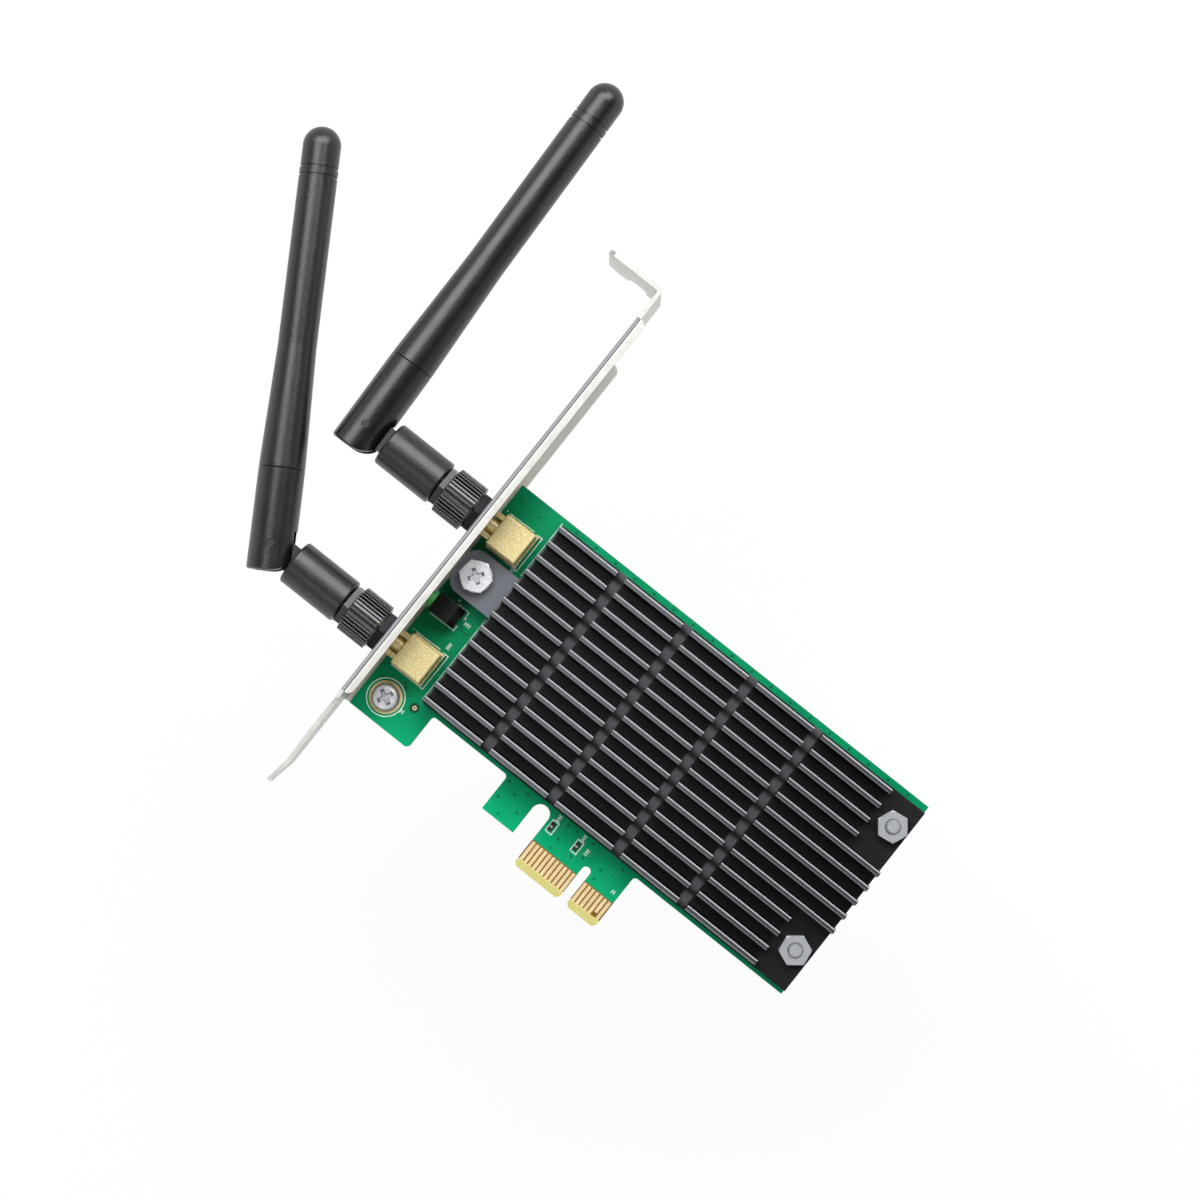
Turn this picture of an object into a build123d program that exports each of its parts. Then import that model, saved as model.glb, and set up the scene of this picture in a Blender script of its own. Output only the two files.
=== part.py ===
from build123d import *
import math
import os

# Frame: X runs along the card to its tail, Y from the edge connector to the screw tab, Z out of the
# component side. The origin is the middle of the key notch, on the connector's edge, at mid-board.

# Circuit board: a low-profile card with a one-lane edge connector
board_thick = 1.6
board_to_bracket_end = 57.3
board_to_tail = 45.0
board_top_edge = 59.7
board_bottom_edge = 12.9
ear_drop = 8.15
ear_width = 14.7
ear_corner = 1.0
tab_width = 7.8
tab_slot = 3.85
key_width = 1.9
key_top = 8.7
inner_corner = 0.8
finger_chamfer = 0.7
bevel_depth = 0.4
bevel_length = 1.4

# Edge contacts: eleven pads before the key notch and seven after it
pad_pitch = 1.0
pad_width = 0.7
pad_bottom = 1.65
pad_top = 6.0
pad_thick = 0.05
pad_margin = 0.65
first_pad = 1.5
pads_before_key = 11
pads_after_key = 7
short_pad = 1.0

# Slot bracket: one folded sheet with two flanges, a screw tab and a tongue
sheet = 0.86
bracket_width = 18.42
bracket_gap = 0.94
bracket_bottom = 4.7
tab_face = 104.7
tab_reach = 12.1
tab_corner = 1.2
notch_width = 4.42
notch_depth = 5.0
notch_offset = 4.9
fold_inside = 0.4
upper_flange_reach = 2.3
upper_flange_bottom = 6.5
upper_flange_top = 98.3
lower_flange_reach = 2.6
lower_flange_top = 89.8
flange_corner = 1.6
ear_radius = 3.4
tongue_width = 10.16
tongue_offset = 5.4
tongue_length = 21.0
tongue_taper = 10.7
tongue_tip = 3.6
tongue_set = 0.1
tongue_lean = 0.8

# Screws of the card: one at the board's corner, one on the heatsink's tongue, two at its tail
screw_size = 2.9
screw_clearance = 0.1
board_screw_x = 52.3
board_screw_y = 10.0
pan_head_width = 5.5
pan_head_height = 1.7
screw_tip = 0.6
ring_width = 6.65
ring_thick = 0.05
recess_width = 3.4
recess_arm = 0.85
recess_depth = 0.9
recess_corner = 0.35
board_cross_turn = 64

# Heatsink: an extruded finned plate, cut across its fins and cleared at two corners
standoff = 1.3
base_thick = 2.0
base_left = 45.9
base_right = 44.9
base_bottom = 13.8
base_top = 58.2
fin_count = 13
fin_edge = 1.08
fin_height = 5.1
fin_top = 1.0
fin_root = 1.65
fin_bevel = 0.3
cut_count = 4
cut_width = 2.1
cut_pitch = 16.27
first_cut = 30.4
pocket_length = 8.2
upper_pocket_rows = 4
lower_pocket_rows = 4
pocket_corner = 2.2
tongue_plate_reach = 11.3
tongue_plate_width = 9.8
tongue_plate_low = 34.8
tongue_plate_corner = 3.0
hex_head_flats = 6.05
hex_head_height = 2.3
hex_washer_width = 6.4
hex_washer_thick = 0.6
hex_head_turn = 23
hex_cross_turn = 55
heatsink_screw_x = 52.9
tail_screw_x = 41.4
tail_screw_high = 52.1
tail_screw_low = 21.4
nut_flats = 5.75
nut_thick = 2.2
stud_rise = 0.6
stud_chamfer = 0.35
tail_nut_turns = (8, 38)
spacer_width = 5.2

# Chips under the heatsink
radio_size = 12.0
radio_thick = 0.9
radio_x = 2.0
radio_y = 36.0
front_end_size = 4.0
front_end_thick = 0.8
front_end_x = 38.0
coil_size = 4.5
coil_height = 1.2
coil_x = 20.0
coil_y = 22.0
crystal_length = 3.2
crystal_width = 2.5
crystal_height = 0.7
crystal_gap = 3.0
capacitor_length = 1.0
capacitor_width = 0.55
capacitor_height = 0.5
capacitor_y = 10.45
capacitor_places = (10.8, 4.5)

# Status lamp: a black housing on the board with a lens that looks through the bracket
lamp_y = 31.0
lamp_axis = 2.4
lamp_length = 6.1
lamp_width = 4.3
lamp_height = 4.6
lamp_slope = 1.4
lamp_back = 0.9
lens_width = 3.0
lens_flange = 3.9
lens_flange_thick = 0.8
lens_clearance = 0.1
lens_seat = 2.0
lead_width = 0.5
lead_spacing = 2.54
lead_setback = 4.3

# Antenna jacks: a square block on the board with a threaded barrel through the bracket
jack_high = 49.6
jack_low = 19.8
jack_block = 7.0
block_gap = 2.75
block_edge = 0.25
skirt_over = 0.35
skirt_height = 1.6
leg_width = 1.0
leg_spacing = 5.08
leg_below = 1.1
bar_width = 1.1
bar_height = 4.6
bar_gap = 3.6
neck_width = 3.2
jack_thread = 6.2
jack_reach = 8.2
jack_bore = 4.6
jack_bore_depth = 6.0
bracket_hole_clearance = 0.15
washer_width = 8.3
washer_thick = 0.5
jack_nut_flats = 8.0
jack_nut_thick = 1.8
contact_width = 0.9
contact_reach = 4.5
socket_spare = 0.5
insulator_thick = 1.6
solder_width = 1.9
solder_height = 0.8

# Antenna: coupling nut, plug, swivel barrel, and a rod that folds about a cross pin
fit = 0.08
end_gap = 0.12
knurl_count = 40
knurl_width = 10.1
knurl_depth = 0.3
knurl_length = 6.8
knurl_chamfer = 0.5
nut_collar = 1.45
collar_root = 0.6
collar_turn = -7
nut_back_wall = 1.35
plug_tube = 4.4
plug_tube_wall = 0.55
plug_flange = 5.9
plug_shank = 5.0
shank_depth = 6.0
socket_wall = 0.3
barrel_width = 9.45
barrel_length = 12.95
barrel_chamfer = 0.3
knuckle_width = 5.4
knuckle_thick = 3.5
pin_width = 1.6
pin_from_barrel = 5.5
pin_recess = 0.2
side_gap = 0.1
coax_width = 1.5
coax_in_knuckle = 1.9
rod_end = 5.3
rod_end_width = 9.25
seam_width = 9.2
seam_place = 15.0
seam_groove = 0.15
spigot_width = 6.8
spigot_length = 4.0
rod_length = 83.3
taper_end = 39.5
sleeve_top_width = 7.7
cap_width = 7.6
cap_length = 8.1
groove_depth = 0.3
groove_width = 0.5
groove_spacing = 1.7
sleeve_wall = 1.3
radiator_width = 3.8
radiator_length = 30.0
whip_width = 1.0
whip_length = 25.0
bore_floor = 5.0
upper_fold_angle = 87.6
lower_fold_angle = 58.3

# Levels and faces that follow from the sizes above
board_face = board_thick / 2
bracket_low = -board_face - sheet
bracket_high = bracket_low + bracket_width
inner_face = -board_to_bracket_end - bracket_gap
outer_face = inner_face - sheet
base_low = board_face + standoff
base_high = base_low + base_thick
jack_axis = board_face + jack_block / 2
heatsink_screw_y = tongue_plate_low + tongue_plate_width / 2
hole_radius = screw_size / 2 + screw_clearance
board_screw = (-board_screw_x, board_screw_y)
heatsink_screw = (-heatsink_screw_x, heatsink_screw_y)
tail_screws = ((tail_screw_x, tail_screw_high), (tail_screw_x, tail_screw_low))


def prism(points, low, high):
    """A flat outline in XY raised from one level to another."""
    return Pos(0, 0, low) * extrude(make_face(Polyline(*points, close=True)), high - low)


def block(x0, x1, y0, y1, z0, z1):
    """A box between two corners."""
    box = Box(x1 - x0, y1 - y0, z1 - z0, align=(Align.MIN, Align.MIN, Align.MIN))
    return Pos(x0, y0, z0) * box


def post(x, y, radius, low, high):
    """A round post that stands along Z."""
    column = Cylinder(radius, high - low, align=(Align.CENTER, Align.CENTER, Align.MIN))
    return Pos(x, y, low) * column


def hexagon(flats, low, high):
    """A hexagonal prism along Z, with its outer corners turned off at both ends."""
    corner = flats / math.sqrt(3)
    trim = (corner - flats / 2) * 0.9
    nut = Pos(0, 0, low) * extrude(RegularPolygon(corner, 6), high - low)
    turned_off = Cylinder(corner, high - low, align=(Align.CENTER, Align.CENTER, Align.MIN))
    turned_off = Pos(0, 0, low) * chamfer(turned_off.edges().filter_by(GeomType.CIRCLE), trim * 0.5, trim)
    return nut & turned_off


def corners(shape, points):
    """The vertices of a flat outline that lie nearest to the given points."""
    return [min(shape.vertices(), key=lambda v: (v.center() - Vector(*p)).length) for p in points]


def cross_recess(top, turn):
    """The cross that a driver fits, sunk from a level, with rounded inner corners."""
    cross = Rectangle(recess_width, recess_arm) + Rectangle(recess_arm, recess_width)
    half = recess_arm / 2
    inner = [(i * half, j * half) for i in (-1, 1) for j in (-1, 1)]
    cross = fillet(corners(cross, inner), recess_corner)
    return Pos(0, 0, top - recess_depth) * Rot(0, 0, turn) * extrude(cross, recess_depth)


def pan_head(low, turn=0):
    """A domed pan head that stands up from a level, with its recess."""
    edge = pan_head_height * 0.45
    crown = pan_head_width * 0.32
    profile = make_face([
        Polyline((crown, 0, pan_head_height), (0, 0, pan_head_height), (0, 0, 0),
                 (pan_head_width / 2, 0, 0), (pan_head_width / 2, 0, edge)),
        ThreePointArc((pan_head_width / 2, 0, edge),
                      (pan_head_width * 0.445, 0, pan_head_height * 0.82), (crown, 0, pan_head_height)),
    ])
    head = revolve(profile, axis=Axis.Z)
    return Pos(0, 0, low) * (head - cross_recess(pan_head_height, turn))


def outward(profile, y):
    """A piece turned about a jack's axis, from (distance out of the bracket, radius) points."""
    face = make_face(Polyline(*[(-s, r) for s, r in profile], close=True))
    return Pos(outer_face, y, jack_axis) * revolve(face, axis=Axis.X)


def finger_span():
    """The connector's left and right edges, from the pads that it holds."""
    left = first_pad + (pads_before_key - 1) * pad_pitch + pad_margin
    right = first_pad + (pads_after_key - 1) * pad_pitch + pad_margin
    return -left, right


def circuit_board():
    left, right = finger_span()
    ear_bottom = board_bottom_edge - ear_drop
    ear_right = -board_to_bracket_end + ear_width
    tab_right = left - tab_slot
    tab_left = tab_right - tab_width
    slot_end = tab_slot / 2
    slot_root = board_bottom_edge - slot_end
    outline = make_face(Polyline(
        (-board_to_bracket_end, ear_bottom), (ear_right, ear_bottom), (ear_right, board_bottom_edge),
        (tab_left, board_bottom_edge), (tab_left, ear_bottom), (tab_right, ear_bottom),
        (tab_right, slot_root), (left, slot_root), (left, 0), (right, 0),
        (right, board_bottom_edge), (board_to_tail, board_bottom_edge),
        (board_to_tail, board_top_edge), (-board_to_bracket_end, board_top_edge), close=True))
    for x in (ear_right, tab_left, right):
        outline = fillet(corners(outline, [(x, board_bottom_edge)]), inner_corner)
    outline = fillet(corners(outline, [(ear_right, ear_bottom)]), ear_corner)
    key = key_width / 2
    outline -= Pos(left - slot_end, slot_root) * Circle(slot_end)
    outline -= Pos(0, key_top / 2 - key) * Rectangle(key_width, key_top)
    outline -= Pos(0, key_top - key) * Circle(key)
    for x in (left, -key, key, right):
        outline = chamfer(corners(outline, [(x, 0)]), finger_chamfer)
    board = Pos(0, 0, -board_face) * extrude(outline, board_thick)
    wedge = make_face(Polyline((0, 0, board_face), (0, bevel_length, board_face),
                               (0, 0, board_face - bevel_depth), close=True))
    wedge = Pos(left, 0, 0) * extrude(wedge, right - left, dir=(1, 0, 0))
    board -= wedge
    board -= mirror(wedge, Plane.XY)
    for x, y in (board_screw, heatsink_screw, *tail_screws):
        board -= post(x, y, hole_radius, -board_thick, board_thick)
    for x, y in leg_places():
        board -= post(x, y, leg_width / 2 + fit, -board_thick, board_thick)
    for x, y in lead_places():
        board -= post(x, y, lead_width / 2 + fit, -board_thick, board_thick)
    return board


def edge_contacts(low):
    """One row of pads, laid on the face of the board at a level."""
    pads = Part()
    for n in range(pads_before_key):
        x = -(first_pad + n * pad_pitch)
        pads += block(x - pad_width / 2, x + pad_width / 2, pad_bottom, pad_top, low, low + pad_thick)
    for n in range(pads_after_key):
        x = first_pad + n * pad_pitch
        cut = short_pad if n == pads_after_key - 2 else 0
        bottom = pad_bottom + cut
        pads += block(x - pad_width / 2, x + pad_width / 2, bottom, pad_top, low, low + pad_thick)
    return pads


def bracket():
    tab_top = tab_face + sheet
    tip = bracket_bottom - tongue_length
    joggle_low = tip + tongue_taper * 0.5
    joggle_high = tip + tongue_taper
    side = make_face(Polyline(
        (outer_face - tongue_lean, tip), (outer_face + tongue_set, joggle_low), (outer_face, joggle_high),
        (outer_face, tab_face), (outer_face - tab_reach, tab_face), (outer_face - tab_reach, tab_top),
        (inner_face, tab_top), (inner_face, joggle_high), (inner_face + tongue_set, joggle_low),
        (inner_face - tongue_lean, tip), close=True))
    side = fillet(corners(side, [(outer_face, tab_face)]), fold_inside)
    side = fillet(corners(side, [(inner_face, tab_top)]), fold_inside + sheet)
    strip = Pos(0, 0, bracket_low) * extrude(side, bracket_width)

    # The plate narrows to the tongue below the board
    reach = 2 * tab_reach
    tongue_low = bracket_low + tongue_offset
    tongue_high = tongue_low + tongue_width
    middle = (tongue_low + tongue_high) / 2
    face = make_face(Polyline(
        (0, tip, middle - tongue_tip / 2), (0, joggle_high, tongue_low),
        (0, bracket_bottom, tongue_low), (0, bracket_bottom, bracket_low), (0, tab_top, bracket_low),
        (0, tab_top, bracket_high), (0, bracket_bottom, bracket_high),
        (0, bracket_bottom, tongue_high), (0, joggle_high, tongue_high),
        (0, tip, middle + tongue_tip / 2), close=True))
    contour = Pos(outer_face - reach, 0, 0) * extrude(face, 2 * reach, dir=(1, 0, 0))
    plate = strip & contour

    # Screw tab: an open notch on the solder side and clipped end corners
    notch_x = outer_face - notch_offset
    plate -= block(notch_x - notch_width / 2, notch_x + notch_width / 2, tab_face - sheet,
                   tab_top + sheet, bracket_low - sheet, bracket_low + notch_depth - notch_width / 2)
    notch_end = Rot(90, 0, 0) * Cylinder(notch_width / 2, 6 * sheet)
    plate -= Pos(notch_x, tab_top, bracket_low + notch_depth - notch_width / 2) * notch_end
    end = outer_face - tab_reach
    for level, way in ((bracket_low, 1), (bracket_high, -1)):
        clip = make_face(Polyline((end, 0, level), (end + tab_corner, 0, level),
                                  (end, 0, level + way * tab_corner), close=True))
        plate -= Pos(0, tab_face - sheet, 0) * extrude(clip, 3 * sheet, dir=(0, 1, 0))

    # Flanges folded towards the card, the lower one with an ear under each screw
    plate += flange(upper_flange_reach, upper_flange_bottom, upper_flange_top, bracket_high - sheet)
    plate += flange(lower_flange_reach, bracket_bottom, lower_flange_top, bracket_low)
    for x, y in (board_screw, heatsink_screw):
        low = max(y - ear_radius, bracket_bottom)
        ear = block(inner_face, x, low, y + ear_radius, bracket_low, -board_face)
        ear += post(x, y, ear_radius, bracket_low, -board_face)
        ear &= block(inner_face, x + ear_radius, bracket_bottom, tab_face, bracket_low, -board_face)
        plate += ear
    plate -= fold_corner(bracket_high, -1, upper_flange_bottom, upper_flange_top)
    plate -= fold_corner(bracket_low, 1, bracket_bottom, lower_flange_top)

    # Openings for the screws, the jacks and the lamp
    for x, y in (board_screw, heatsink_screw):
        plate -= post(x, y, hole_radius, bracket_low - sheet, bracket_high / 2)
    for y in (jack_low, jack_high):
        hole = Rot(0, 90, 0) * Cylinder(jack_thread / 2 + bracket_hole_clearance, 4 * sheet)
        plate -= Pos(outer_face, y, jack_axis) * hole
    window = Rot(0, 90, 0) * Cylinder(lens_width / 2 + lens_clearance, 4 * sheet)
    plate -= Pos(outer_face, lamp_y, board_face + lamp_axis) * window
    return plate


def flange(reach, bottom, top, low):
    """A flange at a level, with rounded corners at its free edge."""
    outline = make_face(Polyline((outer_face, bottom), (outer_face + reach, bottom),
                                 (outer_face + reach, top), (outer_face, top), close=True))
    free = corners(outline, [(outer_face + reach, bottom), (outer_face + reach, top)])
    outline = fillet(free, min(flange_corner, (reach - sheet) * 0.9))
    return Pos(0, 0, low) * extrude(outline, sheet)


def fold_corner(level, way, bottom, top):
    """What a fold rounds off the outside of a flange's corner."""
    radius = fold_inside + sheet
    square = block(outer_face, outer_face + radius, bottom, top,
                   min(level, level + way * radius), max(level, level + way * radius))
    rounding = Rot(90, 0, 0) * Cylinder(radius, 4 * (top - bottom))
    return square - Pos(outer_face + radius, 0, level + way * radius) * rounding


def heatsink():
    low = base_bottom
    high = base_top
    span = high - low - 2 * fin_edge
    pitch = span / (fin_count - 1)
    root = fin_root / 2
    top = fin_top / 2
    tip = base_high + fin_height
    points = [(0, low, base_low), (0, high, base_low), (0, high, base_high)]
    for n in range(fin_count):
        y = high - fin_edge - n * pitch
        points += [(0, y + root, base_high), (0, y + top, tip - fin_bevel),
                   (0, y + top - fin_bevel, tip), (0, y - top + fin_bevel, tip),
                   (0, y - top, tip - fin_bevel), (0, y - root, base_high)]
    points += [(0, low, base_high)]
    section = make_face(Polyline(*points, close=True))
    sink = Pos(-base_left, 0, 0) * extrude(section, base_left + base_right, dir=(1, 0, 0))

    # Saw cuts across the fins, down to the base
    for n in range(cut_count):
        x = -first_cut + n * cut_pitch
        sink -= block(x - cut_width / 2, x + cut_width / 2, low, high, base_high, tip + 1)

    # Cleared corners for the tail nuts
    wall = base_right - pocket_length
    upper_edge = high - fin_edge - (upper_pocket_rows - 0.5) * pitch
    lower_edge = low + fin_edge + (lower_pocket_rows - 0.5) * pitch
    for near, far in ((upper_edge, high), (lower_edge, low)):
        pocket = make_face(Polyline((wall, near), (base_right + 1, near), (base_right + 1, far),
                                    (wall, far), close=True))
        pocket = fillet(corners(pocket, [(wall, near)]), pocket_corner)
        sink -= Pos(0, 0, base_high) * extrude(pocket, fin_height + 1)

    # Mounting tongue towards the bracket
    tongue_left = -base_left - tongue_plate_reach
    tongue_high = tongue_plate_low + tongue_plate_width
    plate = make_face(Polyline((tongue_left, tongue_plate_low), (-base_left + 1, tongue_plate_low),
                               (-base_left + 1, tongue_high), (tongue_left, tongue_high), close=True))
    plate = fillet(corners(plate, [(tongue_left, tongue_plate_low), (tongue_left, tongue_high)]),
                   tongue_plate_corner)
    sink += Pos(0, 0, base_low) * extrude(plate, base_thick)
    for x, y in (heatsink_screw, *tail_screws):
        sink -= post(x, y, hole_radius, base_low - 1, base_high + 1)
    return sink


def heatsink_fastener():
    """Hex washer-head screw that clamps the tongue, the board and the bracket's ear."""
    head = Rot(0, 0, hex_head_turn) * hexagon(hex_head_flats, hex_washer_thick / 2, hex_head_height)
    head += post(0, 0, hex_washer_width / 2, 0, hex_washer_thick)
    head -= cross_recess(hex_head_height, hex_cross_turn)
    shank = post(0, 0, screw_size / 2, bracket_low - screw_tip - base_high, 0)
    x, y = heatsink_screw
    return Pos(x, y, base_high) * (head + shank)


def board_fastener():
    """Pan-head screw through the board's corner into the bracket's ear."""
    seat = board_face + ring_thick
    x, y = board_screw
    shank = post(0, 0, screw_size / 2, bracket_low - screw_tip, seat)
    return Pos(x, y, 0) * (pan_head(seat, board_cross_turn) + shank)


def ground_ring():
    x, y = board_screw
    ring = post(x, y, ring_width / 2, board_face, board_face + ring_thick)
    return ring - post(x, y, hole_radius, board_face - 1, board_face + 1)


def tail_fasteners():
    """Two screws from the solder side, with their heads under the board."""
    top = base_high + nut_thick + stud_rise
    screws = Part()
    for x, y in tail_screws:
        head = Rot(180, 0, 0) * pan_head(board_face)
        stud = post(0, 0, screw_size / 2, -board_face, top)
        stud = chamfer(stud.edges().filter_by(GeomType.CIRCLE).sort_by(Axis.Z)[-1], stud_chamfer)
        screws += Pos(x, y, 0) * (head + stud)
    return screws


def tail_nuts():
    nuts = Part()
    for (x, y), turn in zip(tail_screws, tail_nut_turns):
        nut = hexagon(nut_flats, base_high, base_high + nut_thick)
        nut -= post(0, 0, screw_size / 2 + fit, base_low, base_high + 2 * nut_thick)
        nuts += Pos(x, y, 0) * Rot(0, 0, turn) * nut
    return nuts


def spacers():
    rings = Part()
    for x, y in (heatsink_screw, *tail_screws):
        rings += post(x, y, spacer_width / 2, board_face, base_low)
        rings -= post(x, y, hole_radius, board_face - 1, base_low + 1)
    return rings


def chip(x, y, length, width, height):
    """A chip that sits on the board."""
    return block(x - length / 2, x + length / 2, y - width / 2, y + width / 2,
                 board_face, board_face + height)


def thermal_pad():
    return Pos(0, 0, radio_thick) * chip(radio_x, radio_y, radio_size, radio_size, standoff - radio_thick)


def lead_places():
    x = -board_to_bracket_end + lamp_back + lead_setback
    return [(x, lamp_y - lead_spacing / 2), (x, lamp_y + lead_spacing / 2)]


def lamp_housing():
    front = -board_to_bracket_end + lamp_back
    back = front + lamp_length
    top = board_face + lamp_height
    side = make_face(Polyline((front, 0, board_face), (back, 0, board_face),
                              (back, 0, top - lamp_slope), (back - lamp_slope, 0, top),
                              (front, 0, top), close=True))
    body = Pos(0, lamp_y - lamp_width / 2, 0) * extrude(side, lamp_width, dir=(0, 1, 0))
    seat = Rot(0, 90, 0) * Cylinder(lens_width / 2, 2 * lens_seat)
    body -= Pos(front, lamp_y, board_face + lamp_axis) * seat
    for x, y in lead_places():
        body -= post(x, y, lead_width / 2, board_face - 1, board_face + lamp_axis)
    return body


def lamp_lens():
    """Clear lens: a rod with a flange in the housing's mouth and a rounded tip in the bracket."""
    front = -board_to_bracket_end + lamp_back
    tip = front - outer_face
    radius = lens_width / 2
    crown = radius * 0.6
    flat = radius * 0.35
    profile = make_face([
        Polyline((-tip, flat), (-tip, 0), (lens_seat, 0), (lens_seat, radius), (0, radius),
                 (0, lens_flange / 2), (-lens_flange_thick, lens_flange / 2),
                 (-lens_flange_thick, radius), (crown - tip, radius)),
        ThreePointArc((crown - tip, radius), (crown * 0.22 - tip, radius * 0.75), (-tip, flat)),
    ])
    return Pos(front, lamp_y, board_face + lamp_axis) * revolve(profile, axis=Axis.X)


def lamp_leads():
    leads = Part()
    for x, y in lead_places():
        leads += post(x, y, lead_width / 2, -board_face - leg_below, board_face + lamp_axis)
    return leads


def block_middle():
    return inner_face + block_gap + jack_block / 2


def leg_places():
    middle = block_middle()
    half = leg_spacing / 2
    places = []
    for y in (jack_low, jack_high):
        places.append((middle, y))
        places += [(middle + i * half, y + j * half) for i in (-1, 1) for j in (-1, 1)]
    return places


def jack(y):
    """Gold jack: block and skirt on four legs, two guide bars, and a bored threaded barrel."""
    middle = block_middle()
    half = jack_block / 2
    front = middle - half
    body = block(front, front + jack_block, y - half, y + half, board_face, board_face + jack_block)
    rim = body.faces().sort_by(Axis.Z)[-1].edges()
    body = chamfer(rim, block_edge)
    body += block(front, front + jack_block + skirt_over, y - half - skirt_over, y + half + skirt_over,
                  board_face, board_face + skirt_height)
    for side in (-1, 1):
        edge = y + side * (bar_gap + bar_width) / 2
        body += block(inner_face, front, edge - bar_width / 2, edge + bar_width / 2,
                      jack_axis - bar_height / 2, jack_axis + bar_height / 2)
    body += outward([(-sheet - block_gap, 0), (-sheet - block_gap, neck_width / 2),
                     (-sheet, neck_width / 2), (-sheet, jack_thread / 2),
                     (jack_reach, jack_thread / 2), (jack_reach, jack_bore / 2),
                     (jack_reach - jack_bore_depth, jack_bore / 2), (jack_reach - jack_bore_depth, 0)], y)
    for x, leg_y in leg_places():
        if abs(leg_y - y) < jack_block / 2:
            body += post(x, leg_y, leg_width / 2, -board_face - leg_below, board_face)
    return body


def jack_insulator(y):
    start = jack_reach - jack_bore_depth
    return outward([(start, contact_width / 2), (start, jack_bore / 2),
                    (start + insulator_thick, jack_bore / 2),
                    (start + insulator_thick, contact_width / 2)], y)


def jack_contact(y):
    start = jack_reach - jack_bore_depth
    radius = contact_width / 2
    tip = start + contact_reach
    return outward([(start, 0), (start, radius), (tip - radius, radius), (tip, radius / 2), (tip, 0)], y)


def jack_washer(y):
    return outward([(0, jack_thread / 2 + fit), (0, washer_width / 2),
                    (washer_thick, washer_width / 2), (washer_thick, jack_thread / 2 + fit)], y)


def jack_nut(y):
    nut = hexagon(jack_nut_flats, 0, jack_nut_thick)
    nut -= post(0, 0, jack_thread / 2 + fit, -1, jack_nut_thick + 1)
    return Pos(outer_face - washer_thick, y, jack_axis) * Rot(0, -90, 0) * nut


def solder_joints():
    """Solder cones round the legs and leads, under the board."""
    joints = Part()
    places = [(x, y, leg_width) for x, y in leg_places()]
    places += [(x, y, lead_width) for x, y in lead_places()]
    for x, y, width in places:
        wide = (solder_width - leg_width + width) / 2
        cone = Cone(width * 0.6, wide, solder_height, align=(Align.CENTER, Align.CENTER, Align.MAX))
        cone -= Cylinder(width / 2, 3 * solder_height)
        joints += Pos(x, y, -board_face) * cone
    return joints


# Distances out of the bracket's face, along an antenna
nut_front = washer_thick + jack_nut_thick + end_gap
nut_shoulder = nut_front + knurl_length
nut_rear = nut_shoulder + nut_collar
nut_floor = nut_rear - nut_back_wall
barrel_front = nut_rear + end_gap
barrel_rear = barrel_front + barrel_length
pin_place = barrel_rear + pin_from_barrel
flange_front = jack_reach + end_gap
flange_rear = nut_floor - end_gap
tube_front = jack_reach - jack_bore_depth + insulator_thick + 2 * end_gap
shank_end = barrel_front + shank_depth
socket_radius = contact_width / 2 + fit / 2 + socket_wall
coax_start = shank_end - shank_depth / 2
coax_end = barrel_rear + coax_in_knuckle
pin_x = outer_face - pin_place


def coupling_nut(y):
    """Knurled grip with a hexagonal collar, bored to run on the jack's thread."""
    tooth = math.pi / knurl_count
    outer = knurl_width / 2
    points = []
    for n in range(2 * knurl_count):
        radius = outer if n % 2 == 0 else outer - knurl_depth
        points.append((radius * math.cos(n * tooth), radius * math.sin(n * tooth)))
    grip = prism(points, 0, knurl_length)
    shell = Cylinder(outer, knurl_length, align=(Align.CENTER, Align.CENTER, Align.MIN))
    grip &= chamfer(shell.edges().filter_by(GeomType.CIRCLE), knurl_chamfer)
    collar = hexagon(jack_nut_flats, knurl_length - collar_root, knurl_length + nut_collar)
    grip += Rot(0, 0, collar_turn) * collar
    nut = Pos(outer_face - nut_front, y, jack_axis) * Rot(0, -90, 0) * grip
    thread = jack_thread / 2 + fit
    neck = plug_shank / 2 + fit
    nut -= outward([(nut_front - 1, 0), (nut_front - 1, thread), (nut_floor, thread),
                    (nut_floor, neck), (nut_rear + 1, neck), (nut_rear + 1, 0)], y)
    return nut


def plug(y):
    """Metal plug body: a tube inside the jack, a flange the nut pulls on, and a shank."""
    tube = plug_tube / 2
    bore = tube - plug_tube_wall
    shank = plug_shank / 2
    return outward([(tube_front, bore), (tube_front, tube), (flange_front, tube),
                    (flange_front, plug_flange / 2), (flange_rear, plug_flange / 2),
                    (flange_rear, shank), (shank_end, shank), (shank_end, coax_width / 2),
                    (coax_start, coax_width / 2), (coax_start, bore)], y)


def plug_insulator(y):
    bore = plug_tube / 2 - plug_tube_wall
    return outward([(tube_front, socket_radius), (tube_front, bore),
                    (coax_start, bore), (coax_start, socket_radius)], y)


def plug_contact(y):
    hole = contact_width / 2 + fit / 2
    floor = jack_reach - jack_bore_depth + contact_reach + socket_spare
    return outward([(tube_front, hole), (tube_front, socket_radius), (coax_start, socket_radius),
                    (coax_start, 0), (floor, 0), (floor, hole)], y)


def feed_lead(y):
    """Thin coaxial lead from the plug to the knuckle."""
    radius = coax_width / 2
    return outward([(coax_start, 0), (coax_start, radius), (coax_end, radius), (coax_end, 0)], y)


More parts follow.
